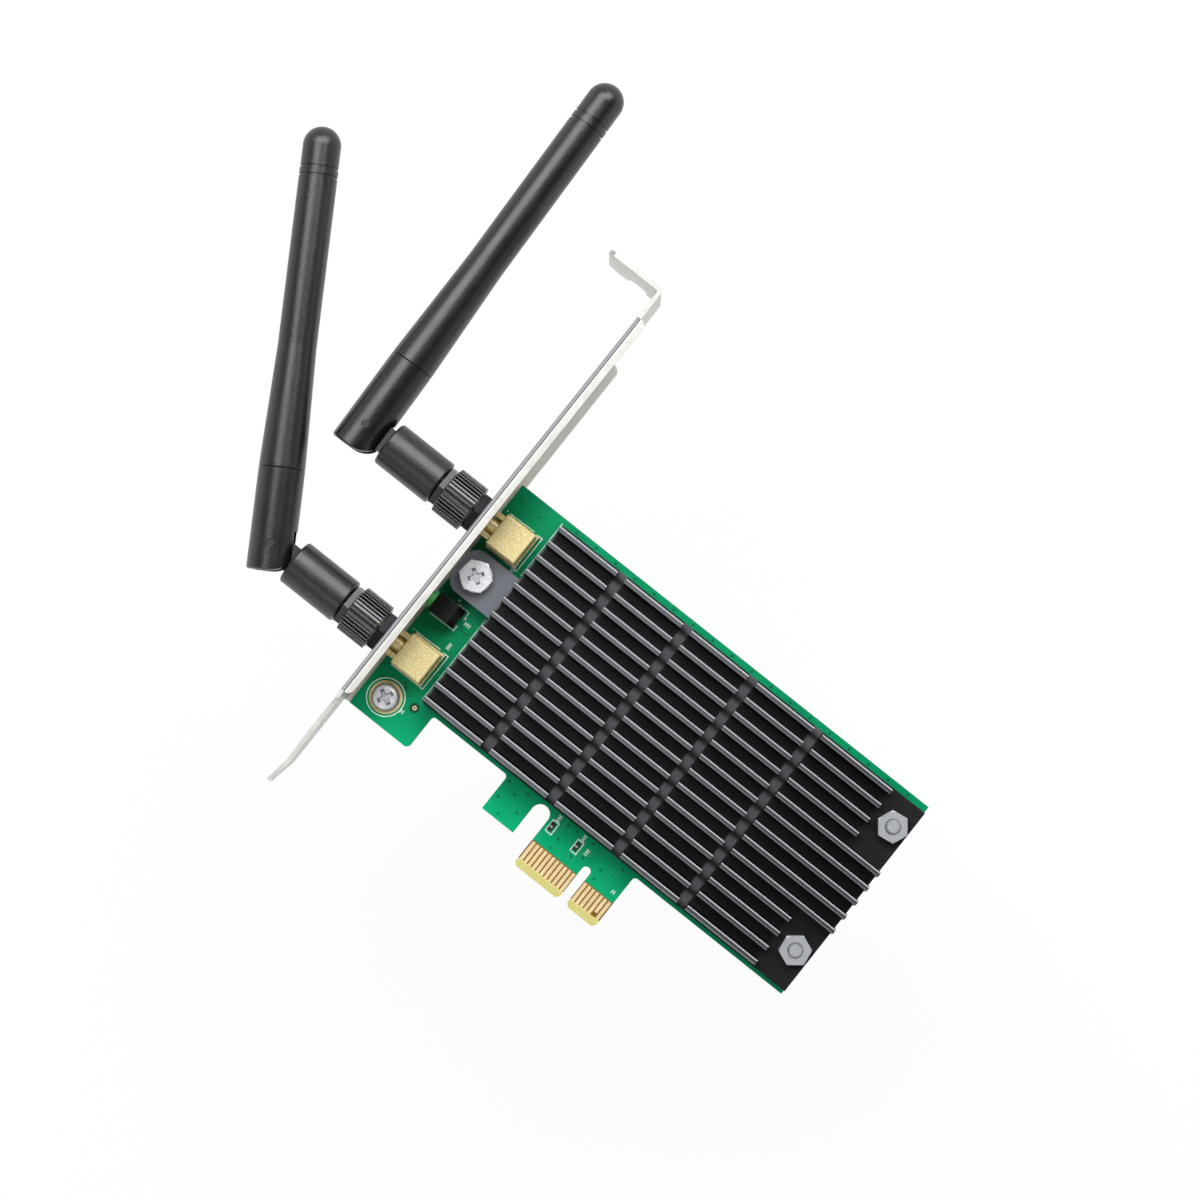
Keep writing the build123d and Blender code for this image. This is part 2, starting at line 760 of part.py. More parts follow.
def swivel(y):
    """Plastic barrel on the plug's shank, with the flat knuckle that the rod folds about."""
    radius = barrel_width / 2
    shank = plug_shank / 2
    coax = coax_width / 2
    body = outward([(barrel_front, shank), (barrel_front, radius - barrel_chamfer),
                    (barrel_front + barrel_chamfer, radius), (barrel_rear - barrel_chamfer, radius),
                    (barrel_rear, radius - barrel_chamfer), (barrel_rear, coax),
                    (shank_end, coax), (shank_end, shank)], y)
    half = knuckle_width / 2
    low = jack_axis - knuckle_thick / 2
    high = jack_axis + knuckle_thick / 2
    knuckle = block(pin_x, outer_face - barrel_rear, y - half, y + half, low, high)
    knuckle += post(pin_x, y, half, low, high)
    knuckle -= post(pin_x, y, pin_width / 2 + fit, low - 1, high + 1)
    knuckle -= outward([(barrel_rear - 1, 0), (barrel_rear - 1, coax), (coax_end, coax), (coax_end, 0)], y)
    return body + knuckle


def fold(shape, y, angle):
    """Turn a rod built straight about its pin and put it on its knuckle."""
    return Pos(pin_x, y, jack_axis) * Rot(0, 0, -angle) * shape


def rod_turned(points):
    """A rod piece turned about the rod's own axis, from (distance past the pin, radius) points."""
    face = make_face(Polyline(*[(-u, r) for u, r in points], close=True))
    return revolve(face, axis=Axis.X)


def rod_base():
    """Lower shell: two cheeks about the knuckle, one rounded corner, and a spigot for the sleeve."""
    end = rod_end_width / 2
    seam = seam_width / 2
    spigot = spigot_width / 2
    bore = radiator_width / 2 + fit
    coax = coax_width / 2 + fit
    spigot_end = seam_place + spigot_length
    shell = rod_turned([(-rod_end, 0), (-rod_end, end - 2 * seam_groove),
                        (-rod_end + 2 * seam_groove, end), (seam_place - seam_groove, seam),
                        (seam_place, seam - seam_groove), (seam_place, spigot), (spigot_end, spigot),
                        (spigot_end, bore), (bore_floor, bore), (bore_floor, 0)])
    slot = knuckle_width / 2 + 2 * side_gap
    half = knuckle_thick / 2 + side_gap
    room = 2 * rod_end
    shell -= block(-slot, room, -slot, room, -half, half)
    corner = block(0, room, 0, room, -room, room) - post(0, 0, rod_end, -room, room)
    shell -= corner
    shell -= post(0, 0, pin_width / 2, -room, room)
    channel = Rot(0, 90, 0) * Cylinder(coax, 2 * (bore_floor - slot))
    shell -= Pos(-(slot + bore_floor) / 2, 0, 0) * channel
    return shell


def rod_sleeve():
    """Upper sleeve: tapered, with two ring grooves and a domed closed cap."""
    seam = seam_width / 2
    spigot = spigot_width / 2 + fit
    top = sleeve_top_width / 2
    cap = cap_width / 2
    hollow = top - sleeve_wall
    cap_start = rod_length - cap_length
    spigot_end = seam_place + spigot_length + end_gap
    dome = rod_length - cap
    profile = [(seam_place, spigot), (seam_place, seam - seam_groove), (seam_place + seam_groove, seam),
               (taper_end, top)]
    for n in (1, 0):
        ring = cap_start - groove_width - n * groove_spacing
        profile += [(ring, top), (ring, top - groove_depth), (ring + groove_width, top - groove_depth),
                    (ring + groove_width, cap if n == 0 else top)]
    outline = Polyline(*[(-u, r) for u, r in profile + [(dome, cap)]])
    crown = ThreePointArc((-dome, cap), (-dome - cap * math.sqrt(0.5), cap * math.sqrt(0.5)),
                          (-rod_length, 0))
    inside = Polyline(*[(-u, r) for u, r in (
        (rod_length, 0), (cap_start, 0), (cap_start, hollow), (spigot_end, hollow),
        (spigot_end, spigot), (seam_place, spigot))])
    return revolve(make_face([outline, crown, inside]), axis=Axis.X)


def radiator():
    """Metal sleeve and whip inside the rod, standing on the floor of the lower shell's bore."""
    wide = radiator_width / 2
    thin = whip_width / 2
    joint = bore_floor + radiator_length
    return rod_turned([(bore_floor, 0), (bore_floor, wide), (joint, wide), (joint, thin),
                       (joint + whip_length, thin), (joint + whip_length, 0)])


def hinge_pin():
    reach = rod_end_width / 2 - pin_recess
    return post(0, 0, pin_width / 2, -reach, reach)


parts = {
    "circuit_board": circuit_board(),
    "edge_contacts_front": edge_contacts(board_face),
    "edge_contacts_back": edge_contacts(-board_face - pad_thick),
    "bracket": bracket(),
    "heatsink": heatsink(),
    "thermal_pad": thermal_pad(),
    "radio_chip": chip(radio_x, radio_y, radio_size, radio_size, radio_thick),
    "front_end_chips": Part() + [chip(-front_end_x, y, front_end_size, front_end_size, front_end_thick)
                                 for y in (jack_low, jack_high)],
    "power_coil": chip(coil_x, coil_y, coil_size, coil_size, coil_height),
    "crystal": chip(radio_x + radio_size / 2 + crystal_gap, radio_y,
                    crystal_width, crystal_length, crystal_height),
    "chip_capacitors": Part() + [chip(-x, capacitor_y, capacitor_width, capacitor_length,
                                      capacitor_height) for x in capacitor_places],
    "ground_ring": ground_ring(),
    "board_screw": board_fastener(),
    "heatsink_screw": heatsink_fastener(),
    "tail_screws": tail_fasteners(),
    "tail_nuts": tail_nuts(),
    "spacers": spacers(),
    "lamp_housing": lamp_housing(),
    "lamp_lens": lamp_lens(),
    "lamp_leads": lamp_leads(),
    "jack_upper": jack(jack_high),
    "jack_lower": jack(jack_low),
    "jack_insulators": jack_insulator(jack_high) + jack_insulator(jack_low),
    "jack_contacts": jack_contact(jack_high) + jack_contact(jack_low),
    "jack_washers": jack_washer(jack_high) + jack_washer(jack_low),
    "jack_nuts": jack_nut(jack_high) + jack_nut(jack_low),
    "solder_joints": solder_joints(),
}
for name, y, angle in (("upper", jack_high, upper_fold_angle),
                       ("lower", jack_low, lower_fold_angle)):
    parts[name + "_coupling_nut"] = coupling_nut(y)
    parts[name + "_plug"] = plug(y)
    parts[name + "_plug_insulator"] = plug_insulator(y)
    parts[name + "_plug_contact"] = plug_contact(y)
    parts[name + "_feed_lead"] = feed_lead(y)
    parts[name + "_swivel"] = swivel(y)
    parts[name + "_rod_base"] = fold(rod_base(), y, angle)
    parts[name + "_rod_sleeve"] = fold(rod_sleeve(), y, angle)
    parts[name + "_radiator"] = fold(radiator(), y, angle)
    parts[name + "_hinge_pin"] = fold(hinge_pin(), y, angle)

os.makedirs("parts", exist_ok=True)
for name, shape in parts.items():
    export_step(shape, f"parts/{name}.step")
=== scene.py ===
import math
import random

import bmesh
import bpy
from mathutils import Matrix, Vector


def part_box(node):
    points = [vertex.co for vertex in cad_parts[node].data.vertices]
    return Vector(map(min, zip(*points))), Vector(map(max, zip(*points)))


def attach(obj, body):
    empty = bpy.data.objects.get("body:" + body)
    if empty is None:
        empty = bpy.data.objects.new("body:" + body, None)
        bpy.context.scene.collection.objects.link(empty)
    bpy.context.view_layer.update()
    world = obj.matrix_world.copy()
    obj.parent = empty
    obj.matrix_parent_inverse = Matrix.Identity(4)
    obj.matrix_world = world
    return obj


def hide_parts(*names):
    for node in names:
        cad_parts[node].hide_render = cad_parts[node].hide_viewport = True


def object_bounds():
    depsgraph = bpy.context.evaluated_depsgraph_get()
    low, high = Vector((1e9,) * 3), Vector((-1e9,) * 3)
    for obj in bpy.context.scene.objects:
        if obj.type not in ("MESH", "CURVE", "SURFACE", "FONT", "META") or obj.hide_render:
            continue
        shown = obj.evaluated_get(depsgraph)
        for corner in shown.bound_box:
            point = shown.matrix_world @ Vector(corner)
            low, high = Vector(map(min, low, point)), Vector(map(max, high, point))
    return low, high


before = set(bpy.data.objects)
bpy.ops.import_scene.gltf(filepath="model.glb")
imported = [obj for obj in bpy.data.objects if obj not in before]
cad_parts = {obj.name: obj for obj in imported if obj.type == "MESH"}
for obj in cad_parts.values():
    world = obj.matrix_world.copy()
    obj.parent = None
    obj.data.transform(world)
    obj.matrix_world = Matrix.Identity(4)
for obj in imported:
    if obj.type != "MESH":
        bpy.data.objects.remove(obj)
cad_bounds = [list(corner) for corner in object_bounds()]


# Camera, straight above the card with a slight lean, turned so that the bracket runs from the lower
# left to the upper right as in the photograph.
focal_length, film_width = 90.99, 36
camera_place = (-0.0120957, 0.0338542, 0.6)
camera_turn = (2.4423, 0.3816, 38.5019)

camera_data = bpy.data.cameras.new("camera")
camera_data.lens = focal_length
camera_data.sensor_width = film_width
camera = bpy.data.objects.new("camera", camera_data)
camera.location = camera_place
camera.rotation_euler = [math.radians(angle) for angle in camera_turn]
bpy.context.collection.objects.link(camera)
bpy.context.scene.camera = camera
bpy.context.scene.view_settings.view_transform = "Standard"


# Studio: a wide white floor, low enough for the swivelled antennas to clear it, and soft lamps. The
# card is lit from the top and the left of the picture, with a weaker light from its lower edge.
floor_drop, floor_reach = 0.084, 6
floor_glow = 0.9
horizon, overhead = 0.15, 0.7
horizon_light, overhead_light, fill_light = 1.0, 0.05, 0.24
lamp_aim = Vector((-0.03, 0.05, 0))
lamps = {
    "top_light": {"place": (-0.08, 0.62, 0.66), "size": 0.56, "power": 4.5},
    "lower_light": {"place": (0.04, -0.49, 0.71), "size": 0.45, "power": 1.2},
    "left_light": {"place": (-0.50, 0.24, 0.74), "size": 0.62, "power": 5.9},
}


def add(tree, kind, inputs=None, **settings):
    """Adds a node to a tree, sets it up, and fills or links its inputs."""
    made = tree.nodes.new(kind)
    for name, value in settings.items():
        setattr(made, name, value)
    for name, value in (inputs or {}).items():
        if isinstance(value, bpy.types.NodeSocket):
            tree.links.new(value, made.inputs[name])
        else:
            made.inputs[name].default_value = value
    return made


def calculate(tree, operation, first, second=0.0):
    return add(tree, "ShaderNodeMath", {0: first, 1: second}, operation=operation).outputs[0]


def between(tree, value, low, high, to_low=0.0, to_high=1.0):
    """A value's range mapped to another range and held inside it."""
    return add(tree, "ShaderNodeMapRange",
               {"Value": value, "From Min": low, "From Max": high,
                "To Min": to_low, "To Max": to_high}).outputs[0]


def seen_directly(tree, reflected=True):
    """1 where the camera, a clear piece or, if asked, a reflection looks, and 0 for light."""
    rays = add(tree, "ShaderNodeLightPath").outputs
    direct = calculate(tree, "MAXIMUM", rays["Is Camera Ray"], rays["Is Transmission Ray"])
    return calculate(tree, "MAXIMUM", direct, rays["Is Glossy Ray"]) if reflected else direct


floor_paper = bpy.data.materials.new("floor_paper")
floor_paper.use_nodes = True
paper = floor_paper.node_tree
paper.nodes.clear()
glowing = add(paper, "ShaderNodeEmission", {"Color": (1, 1, 1, 1), "Strength": 1.0})
lit = add(paper, "ShaderNodeBsdfDiffuse", {"Color": (0.93, 0.93, 0.93, 1)})
glow = calculate(paper, "MULTIPLY", seen_directly(paper), floor_glow)
mixed = add(paper, "ShaderNodeMixShader", {0: glow, 1: lit.outputs[0], 2: glowing.outputs[0]})
add(paper, "ShaderNodeOutputMaterial", {"Surface": mixed.outputs[0]})

floor_low = cad_bounds[0][2] - floor_drop
floor_mesh = bpy.data.meshes.new("floor")
floor_mesh.from_pydata([(i * floor_reach, j * floor_reach, floor_low)
                        for i, j in ((-1, -1), (1, -1), (1, 1), (-1, 1))], [], [(0, 1, 2, 3)])
floor_mesh.materials.append(floor_paper)
floor = bpy.data.objects.new("floor", floor_mesh)
bpy.context.collection.objects.link(floor)

world = bpy.data.worlds.new("studio")
world.use_nodes = True
sky = world.node_tree
sky.nodes.clear()
looking = add(sky, "ShaderNodeTexCoord").outputs["Generated"]
upward = add(sky, "ShaderNodeSeparateXYZ", {0: looking}).outputs["Z"]
mirrored = add(sky, "ShaderNodeLightPath").outputs["Is Glossy Ray"]
dome = between(sky, upward, horizon, overhead, horizon_light, overhead_light)
level = between(sky, mirrored, 0.0, 1.0, fill_light, dome)
level = between(sky, seen_directly(sky, reflected=False), 0.0, 1.0, level, 1.0)
background = add(sky, "ShaderNodeBackground", {"Color": (1, 1, 1, 1), "Strength": level})
add(sky, "ShaderNodeOutputWorld", {"Surface": background.outputs[0]})
bpy.context.scene.world = world

for name, lamp in lamps.items():
    lamp_data = bpy.data.lights.new(name, "AREA")
    lamp_data.shape = "SQUARE"
    lamp_data.size = lamp["size"]
    lamp_data.energy = lamp["power"]
    lamp_object = bpy.data.objects.new(name, lamp_data)
    lamp_object.location = lamp["place"]
    aim = lamp_aim - Vector(lamp["place"])
    lamp_object.rotation_euler = aim.to_track_quat("-Z", "Y").to_euler()
    bpy.context.collection.objects.link(lamp_object)


# Circuit board: four-layer laminate under a green solder mask, which is paler low down, over bare
# laminate, with painted shade that darkens the mask beside the bracket. No mask covers the cut
# edges and the contacts' strip.
mm = 0.001
board_face = 0.8
contact_top, contact_foot, contact_reach = 6.2, 1.7, 13
pale_from, pale_to = 16, 5
bracket_shade_from, bracket_shade_to, bracket_shade_share = -49, -57.5, 0.35
masked_gloss, cut_gloss = 0.34, 0.75


def paint(red, green, blue):
    """A colour as a paint chart gives it, 0 to 255, turned to the renderer's own scale."""
    def linear(value):
        value /= 255
        return value / 12.92 if value <= 0.04045 else ((value + 0.055) / 1.055) ** 2.4
    return (linear(red), linear(green), linear(blue), 1)


def finish(name, roughness, metallic=0.0, **sockets):
    """A new material, its tree and its shader, with the shader's plain values set."""
    material = bpy.data.materials.new(name)
    material.use_nodes = True
    tree = material.node_tree
    shader = tree.nodes["Principled BSDF"]
    shader.inputs["Roughness"].default_value = roughness
    shader.inputs["Metallic"].default_value = metallic
    for socket, value in sockets.items():
        shader.inputs[socket.replace("_", " ")].default_value = value
    return material, tree, shader


def place_in(tree):
    return add(tree, "ShaderNodeTexCoord").outputs["Object"]


def axes(tree):
    """The place on the piece as three numbers, in millimetres."""
    spread = add(tree, "ShaderNodeVectorMath", {0: place_in(tree), 1: (1000, 1000, 1000)},
                 operation="MULTIPLY")
    return add(tree, "ShaderNodeSeparateXYZ", {0: spread.outputs[0]}).outputs


def noise(tree, size, detail=2.0, stretch=(1, 1, 1)):
    """Noise with features about that many millimetres across, drawn out by stretch."""
    scale = tuple(1 / (size * mm * s) for s in stretch)
    spread = add(tree, "ShaderNodeVectorMath", {0: place_in(tree), 1: scale}, operation="MULTIPLY")
    return add(tree, "ShaderNodeTexNoise", {"Vector": spread.outputs[0], "Scale": 1.0,
                                            "Detail": detail}).outputs["Fac"]


def blended(tree, share, first, second):
    """Two colours mixed, where share runs from 0 for the first to 1 for the second."""
    mix = add(tree, "ShaderNodeMix", {0: share, 6: first, 7: second}, data_type="RGBA")
    return mix.outputs[2]


def clouded(tree, tones, size, detail=2.0, span=(0.3, 0.7), stretch=(1, 1, 1)):
    """Two paint tones that drift into each other in clouds about that many millimetres across."""
    first, second = (paint(*tone) for tone in tones)
    return blended(tree, between(tree, noise(tree, size, detail, stretch), *span), first, second)


def bumpy(tree, height, depth, before=None):
    """Bumps that many millimetres deep from a height."""
    inputs = {"Height": height, "Strength": 1.0, "Distance": depth * mm}
    if before is not None:
        inputs["Normal"] = before
    return add(tree, "ShaderNodeBump", inputs).outputs[0]


def connect(tree, shader, **sockets):
    """Links what the nodes give to the shader's sockets."""
    for socket, value in sockets.items():
        tree.links.new(value, shader.inputs[socket.replace("_", " ")])


def dress(material, *nodes):
    """Gives CAD nodes a material."""
    for name in nodes:
        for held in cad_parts[name].material_slots:
            held.material = material


board_mask, tree, shader = finish("board_mask", 0.3, IOR=1.5, Specular_IOR_Level=0.12)
x, y, z = axes(tree)
green = clouded(tree, ((0, 138, 89), (0, 150, 98)), 9.0, span=(0.35, 0.65))
green = blended(tree, between(tree, y, pale_from, pale_to), green, paint(0, 172, 114))
# Painted shade: the mask is darkened towards the bracket.
green = blended(tree, between(tree, x, bracket_shade_from, bracket_shade_to, 0, bracket_shade_share), green, paint(0, 96, 60))
laminate = clouded(tree, ((206, 198, 120), (222, 214, 138)), 0.35, 3.0, (0.35, 0.65), (1, 1, 6))
beside_contacts = calculate(tree, "MULTIPLY",
                            between(tree, y, contact_top + 0.02, contact_top - 0.02),
                            calculate(tree, "LESS_THAN", calculate(tree, "ABSOLUTE", x),
                                      contact_reach))
bare = blended(tree, between(tree, y, contact_foot + 0.05, contact_foot - 0.05),
               paint(126, 92, 38), laminate)
covered = blended(tree, beside_contacts, green, bare)
cut = calculate(tree, "LESS_THAN", calculate(tree, "ABSOLUTE", z), board_face - 0.01)
weave = calculate(tree, "ADD", noise(tree, 0.5, 1.0, (1, 5, 1)), noise(tree, 0.5, 1.0, (5, 1, 1)))
connect(tree, shader, Base_Color=blended(tree, cut, covered, laminate),
        Roughness=blended(tree, cut, (masked_gloss,) * 3 + (1,), (cut_gloss,) * 3 + (1,)),
        Normal=bumpy(tree, weave, 0.012))
dress(board_mask, "circuit_board")


# Copper tracks and plated holes: thin copper under the mask, so they stand up a little and look a
# paler green. The holes are darker rings, filled with mask.
track_rise = 0.04
top_of_track = board_face + track_rise
jack_places = (49.6, 19.8)
feed_width, lane_width, supply_width, bus_width = 0.5, 0.13, 0.2, 0.3
back_hole_rise, front_hole_rise = 0.03, 0.045
back_hole_radii, front_hole_radii = (0.16, 0.34), (0.1, 0.27)
scattered_holes, scatter_x, scatter_y = 150, (-38, 37), (15, 58)
edge_holes = [(-43.0 + 4.9 * n, 58.95) for n in range(18)]
front_holes = [
    (-51.0, 14.6), (-48.6, 13.2), (-50.4, 13.9), (-48.7, 29.6), (-47.9, 29.4), (-47.3, 29.8),
    (-49.2, 30.1), (-53.2, 26.6), (-55.2, 26.0), (-47.4, 37.0), (-55.6, 57.4), (-50.6, 56.8),
    (-20.4, 10.8), (-17.8, 8.3), (-18.4, 12.4), (-22.8, 12.2), (-22.7, 8.5), (-20.6, 5.9),
    (-8.2, 9.3), (-8.4, 7.0), (-8.3, 12.7), (-6.2, 12.8), (-2.2, 12.9), (-2.1, 9.5), (2.1, 9.8),
    (5.5, 12.5), (2.1, 7.6), (-4.1, 8.2)]


def plain(name, roughness, metallic, tones, cloud, dents, span=(0.3, 0.7), drawn=(1, 1, 1),
          **sockets):
    """A finish in two clouded tones with fine dents. The cloud is given by its size and detail, the
    dents by their size, detail and depth, and drawn stretches the dents along an axis."""
    material, tree, shader = finish(name, roughness, metallic, **sockets)
    size, detail, depth = dents
    connect(tree, shader, Base_Color=clouded(tree, tones, *cloud, span),
            Normal=bumpy(tree, noise(tree, size, detail, drawn), depth))
    return material


def ribbon(mesh, points, width, low, high):
    """A flat strip that follows a line of points in millimetres, with mitred turns."""
    points = [Vector(p) for p in points]
    steps = [(b - a).normalized() for a, b in zip(points, points[1:])]
    rims = []
    for n, point in enumerate(points):
        before = steps[max(n - 1, 0)]
        after = steps[min(n, len(steps) - 1)]
        along = (before + after).normalized()
        side = Vector((-along.y, along.x))
        reach = width / 2 / max(0.5, side.dot(Vector((-after.y, after.x))))
        rims.append([mesh.verts.new(((point.x + s * side.x * reach) * mm,
                                     (point.y + s * side.y * reach) * mm, level * mm))
                     for s, level in ((1, low), (1, high), (-1, high), (-1, low))])
    for first, second in zip(rims, rims[1:]):
        for n in range(4):
            k = (n + 1) % 4
            mesh.faces.new((first[n], first[k], second[k], second[n]))
    mesh.faces.new(rims[0][::-1])
    mesh.faces.new(rims[-1])


def ring(mesh, x, y, inner, outer, low, high, sides):
    """A flat ring, or a disc where inner is 0, centred on a point in millimetres."""
    def loop(radius, level):
        angles = [2 * math.pi * n / sides for n in range(sides)]
        return [mesh.verts.new(((x + radius * math.cos(a)) * mm, (y + radius * math.sin(a)) * mm,
                                level * mm)) for a in angles]
    loops = [loop(outer, low), loop(outer, high)]
    if inner:
        loops += [loop(inner, high), loop(inner, low)]
        pairs = list(zip(loops, loops[1:] + loops[:1]))
    else:
        mesh.faces.new(loops[0][::-1])
        mesh.faces.new(loops[1])
        pairs = [(loops[0], loops[1])]
    for first, second in pairs:
        for n in range(sides):
            k = (n + 1) % sides
            mesh.faces.new((first[n], first[k], second[k], second[n]))


def piece(name, mesh, material, body, smooth=0):
    """Turns worked mesh data into a piece that rides on a body. With smooth, only edges that turn
    by more than that many degrees stay sharp."""
    if isinstance(mesh, bmesh.types.BMesh):
        bmesh.ops.recalc_face_normals(mesh, faces=mesh.faces)
        data = bpy.data.meshes.new(name)
        mesh.to_mesh(data)
        mesh.free()
    else:
        data = mesh
        data.name = name
    data.materials.clear()
    data.materials.append(material)
    if smooth:
        data.shade_smooth()
        data.set_sharp_from_angle(angle=math.radians(smooth))
    made = bpy.data.objects.new(name, data)
    bpy.context.collection.objects.link(made)
    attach(made, body)
    return made


tracks = bmesh.new()


def track(points, width, under=False):
    """A copper track on the component side, or on the solder side."""
    low, high = (-top_of_track, -board_face) if under else (board_face, top_of_track)
    ribbon(tracks, points, width, low, high)


for y in jack_places:
    track([(-47.2, y), (-45.6, y)], feed_width)
for n in range(4):
    foot, bend = 2.0 + 1.1 * n, 2.6 + 0.8 * n
    track([(foot, 6.4), (foot, 7.6 + 0.5 * n), (bend, 9.4 + 0.5 * n), (bend, 14.5)], lane_width)
for n in range(3):
    foot, bend, shift = -5.5 + n, -3.4 + 0.7 * n, 0.4 + 0.7 * n
    track([(foot, 6.4), (foot, 7.8), (bend, 9.9), (shift, 13.0), (shift, 14.5)], lane_width)
track([(-11.4, 6.4), (-11.4, 8.2), (-8.9, 10.7), (-8.9, 14.5)], supply_width)
for n in list(range(7)) + list(range(9, 16)):
    foot = -11.5 + n if n < 9 else -7.5 + n
    shift = foot * 1.2 - 0.5
    track([(foot, 6.6), (foot, 14.0), (shift, 17.0 + (n % 4) * 0.5), (shift, 22.0 + 1.5 * n)],
          supply_width, under=True)
for n in range(7):
    track([(16.0 + 0.8 * n, 20.0 + 3 * n), (24.0 + 0.8 * n, 28.0 + 3 * n), (35.0, 28.0 + 3 * n),
           (37.0 - 0.4 * n, 30.0 + 3 * n)], bus_width, under=True)
for y, far in zip(jack_places, (44.0, 26.0)):
    for side in (-1, 1):
        near_y, far_y = y + side * 1.6, far + side * 1.2
        track([(-46.0, near_y), (-38.0, near_y), (-30.0, far_y), (-9.0, far_y)], feed_width,
              under=True)
covered_copper = plain("covered_copper", 0.34, 0.0, ((16, 158, 108), (32, 170, 118)),
                       cloud=(3.0, 2.0), dents=(0.2, 2.0, 0.006), span=(0.35, 0.65), IOR=1.5,
                       Specular_IOR_Level=0.2)
piece("copper_tracks", tracks, covered_copper, "card")

holes = bmesh.new()
scatter = random.Random(7)
for n in range(scattered_holes):
    x = scatter.uniform(*scatter_x)
    y = scatter.uniform(*scatter_y)
    ring(holes, x, y, *back_hole_radii, -board_face - back_hole_rise, -board_face, sides=10)
for x, y in edge_holes + front_holes:
    ring(holes, x, y, *front_hole_radii, board_face, board_face + front_hole_rise, sides=12)
hole_ring = plain("hole_ring", 0.4, 0.0, ((0, 70, 46), (0, 96, 64)), cloud=(1.0, 2.0),
                  dents=(0.1, 1.0, 0.005), span=(0.4, 0.6), IOR=1.5, Specular_IOR_Level=0.2)
piece("plated_holes", holes, hole_ring, "card")


# Board print: outlines and rows of small bars on both sides of the board, screen-printed in a white
# ink that lies a few hundredths of a millimetre thick on the mask.
ink_rise = 0.05
ink_top = board_face + ink_rise
line_width, fine_line, bold_line, back_line, mark_width = 0.17, 0.14, 0.2, 0.16, 0.15
screw_x, screw_y, screw_circle = -52.3, 10.0, (3.72, 3.92)
capacitor_frames = (-10.6, -4.35)
back_marks = ((-40.0, 52.0, 5), (-22.0, 47.0, 4), (6.0, 52.5, 6), (26.0, 42.0, 4), (30.0, 20.0, 3),
              (-30.0, 22.0, 4), (-8.0, 30.0, 3), (14.0, 33.0, 5))
back_frames = ((-2.0, 36.0, 14.0, 14.0), (-34.0, 47.5, 5.5, 5.5), (-34.0, 21.5, 5.5, 5.5),
               (22.0, 24.0, 6.0, 4.0), (30.0, 50.0, 8.0, 3.5))

print_mesh = bmesh.new()


def printed(points, width=line_width, side=1):
    """A line of ink on the component side, or for side -1 on the solder side."""
    ribbon(print_mesh, points, width, *sorted((side * board_face, side * ink_top)))


def marks(x, y, count, upright=False, height=0.85, step=0.56, side=1):
    """A row of small bars, long and short by turns, that runs along the card, or up it."""
    for n in range(2 * count - 1):
        low, high = ((0.0, 1.0), (0.3, 0.8))[n % 2]
        points = [(n * step / 2, low * height), (n * step / 2, high * height)]
        ends = [(x - v, y + u) if upright else (x + u, y + v) for u, v in points]
        printed(ends, mark_width, side)


for y in jack_places:
    printed([(-55.7, y + 4.1), (-49.7, y + 4.25)])
    printed([(-49.0, y + 4.1), (-47.6, y + 4.1), (-47.6, y - 4.05), (-55.5, y - 4.05)])
    printed([(-56.6, y + 4.2), (-56.2, y + 4.2)])
printed([(-46.35, 58.6), (-46.35, 45.4)], fine_line)
printed([(-46.35, 34.2), (-46.35, 14.2)], fine_line)
printed([(-55.9, 28.5), (-50.0, 28.6), (-50.0, 29.9)])
printed([(-49.8, 31.3), (-49.8, 33.2), (-52.5, 33.3)])
printed([(-49.9, 31.4), (-49.5, 31.9), (-49.9, 32.3)], bold_line)
marks(-48.3, 25.0, 3, upright=True)
marks(-48.0, 44.6, 3, upright=True)
marks(-49.1, 30.7, 3)
marks(-53.0, 33.7, 2, height=0.6, step=0.45)
marks(-48.3, 9.3, 2)
for x in capacitor_frames:
    left, right = x - 0.72, x + 0.72
    printed([(left, 9.1), (right, 9.1), (right, 11.75), (left, 11.75), (left, 9.0)], bold_line)
    marks(x + 0.5, 12.05, 3, upright=True)
marks(-1.7, 10.2, 3, upright=True)
marks(6.5, 7.5, 2)
ring(print_mesh, screw_x, screw_y, *screw_circle, board_face, ink_top, sides=64)
for x, y, count in back_marks:
    marks(x, y, count, height=0.9, step=0.7, side=-1)
for x, y, wide, tall in back_frames:
    corners = [(x + i * wide / 2, y + j * tall / 2)
               for i, j in ((-1, -1), (1, -1), (1, 1), (-1, 1))]
    for first, second in zip(corners, corners[1:] + corners[:1]):
        printed([first, second], back_line, side=-1)
ink = plain("print_ink", 0.55, 0.0, ((206, 240, 222), (246, 252, 248)), cloud=(0.5, 3.0),
            dents=(0.12, 2.0, 0.01), span=(0.35, 0.6), IOR=1.45)
piece("board_print", print_mesh, ink, "card")


# Edge contacts, the ring under the corner screw and a test pad: copper with a thin layer of gold,
# with faint marks where they have been pushed into a slot.
test_x, test_y = -46.5, 11.85
pad_radii, pad_rise = (0.2, 0.45), 0.05
clearing_radius, clearing_rise = 1.05, 0.012


def uneven_gloss(tree, size, low, high, detail=2.0, stretch=(1, 1, 1)):
    """A roughness that drifts between two values."""
    return between(tree, noise(tree, size, detail, stretch), 0.3, 0.7, low, high)


contact_gold, tree, shader = finish("contact_gold", 0.34, 0.45)
connect(tree, shader,
        Base_Color=clouded(tree, ((250, 218, 160), (255, 232, 184)), 0.8, 3.0, (0.35, 0.65),
                           (1, 4, 1)),
        Roughness=uneven_gloss(tree, 0.15, 0.3, 0.46, stretch=(1, 12, 1)),
        Normal=bumpy(tree, noise(tree, 0.08, 2.0, (1, 20, 1)), 0.004))
dress(contact_gold, "edge_contacts_front", "edge_contacts_back", "ground_ring")

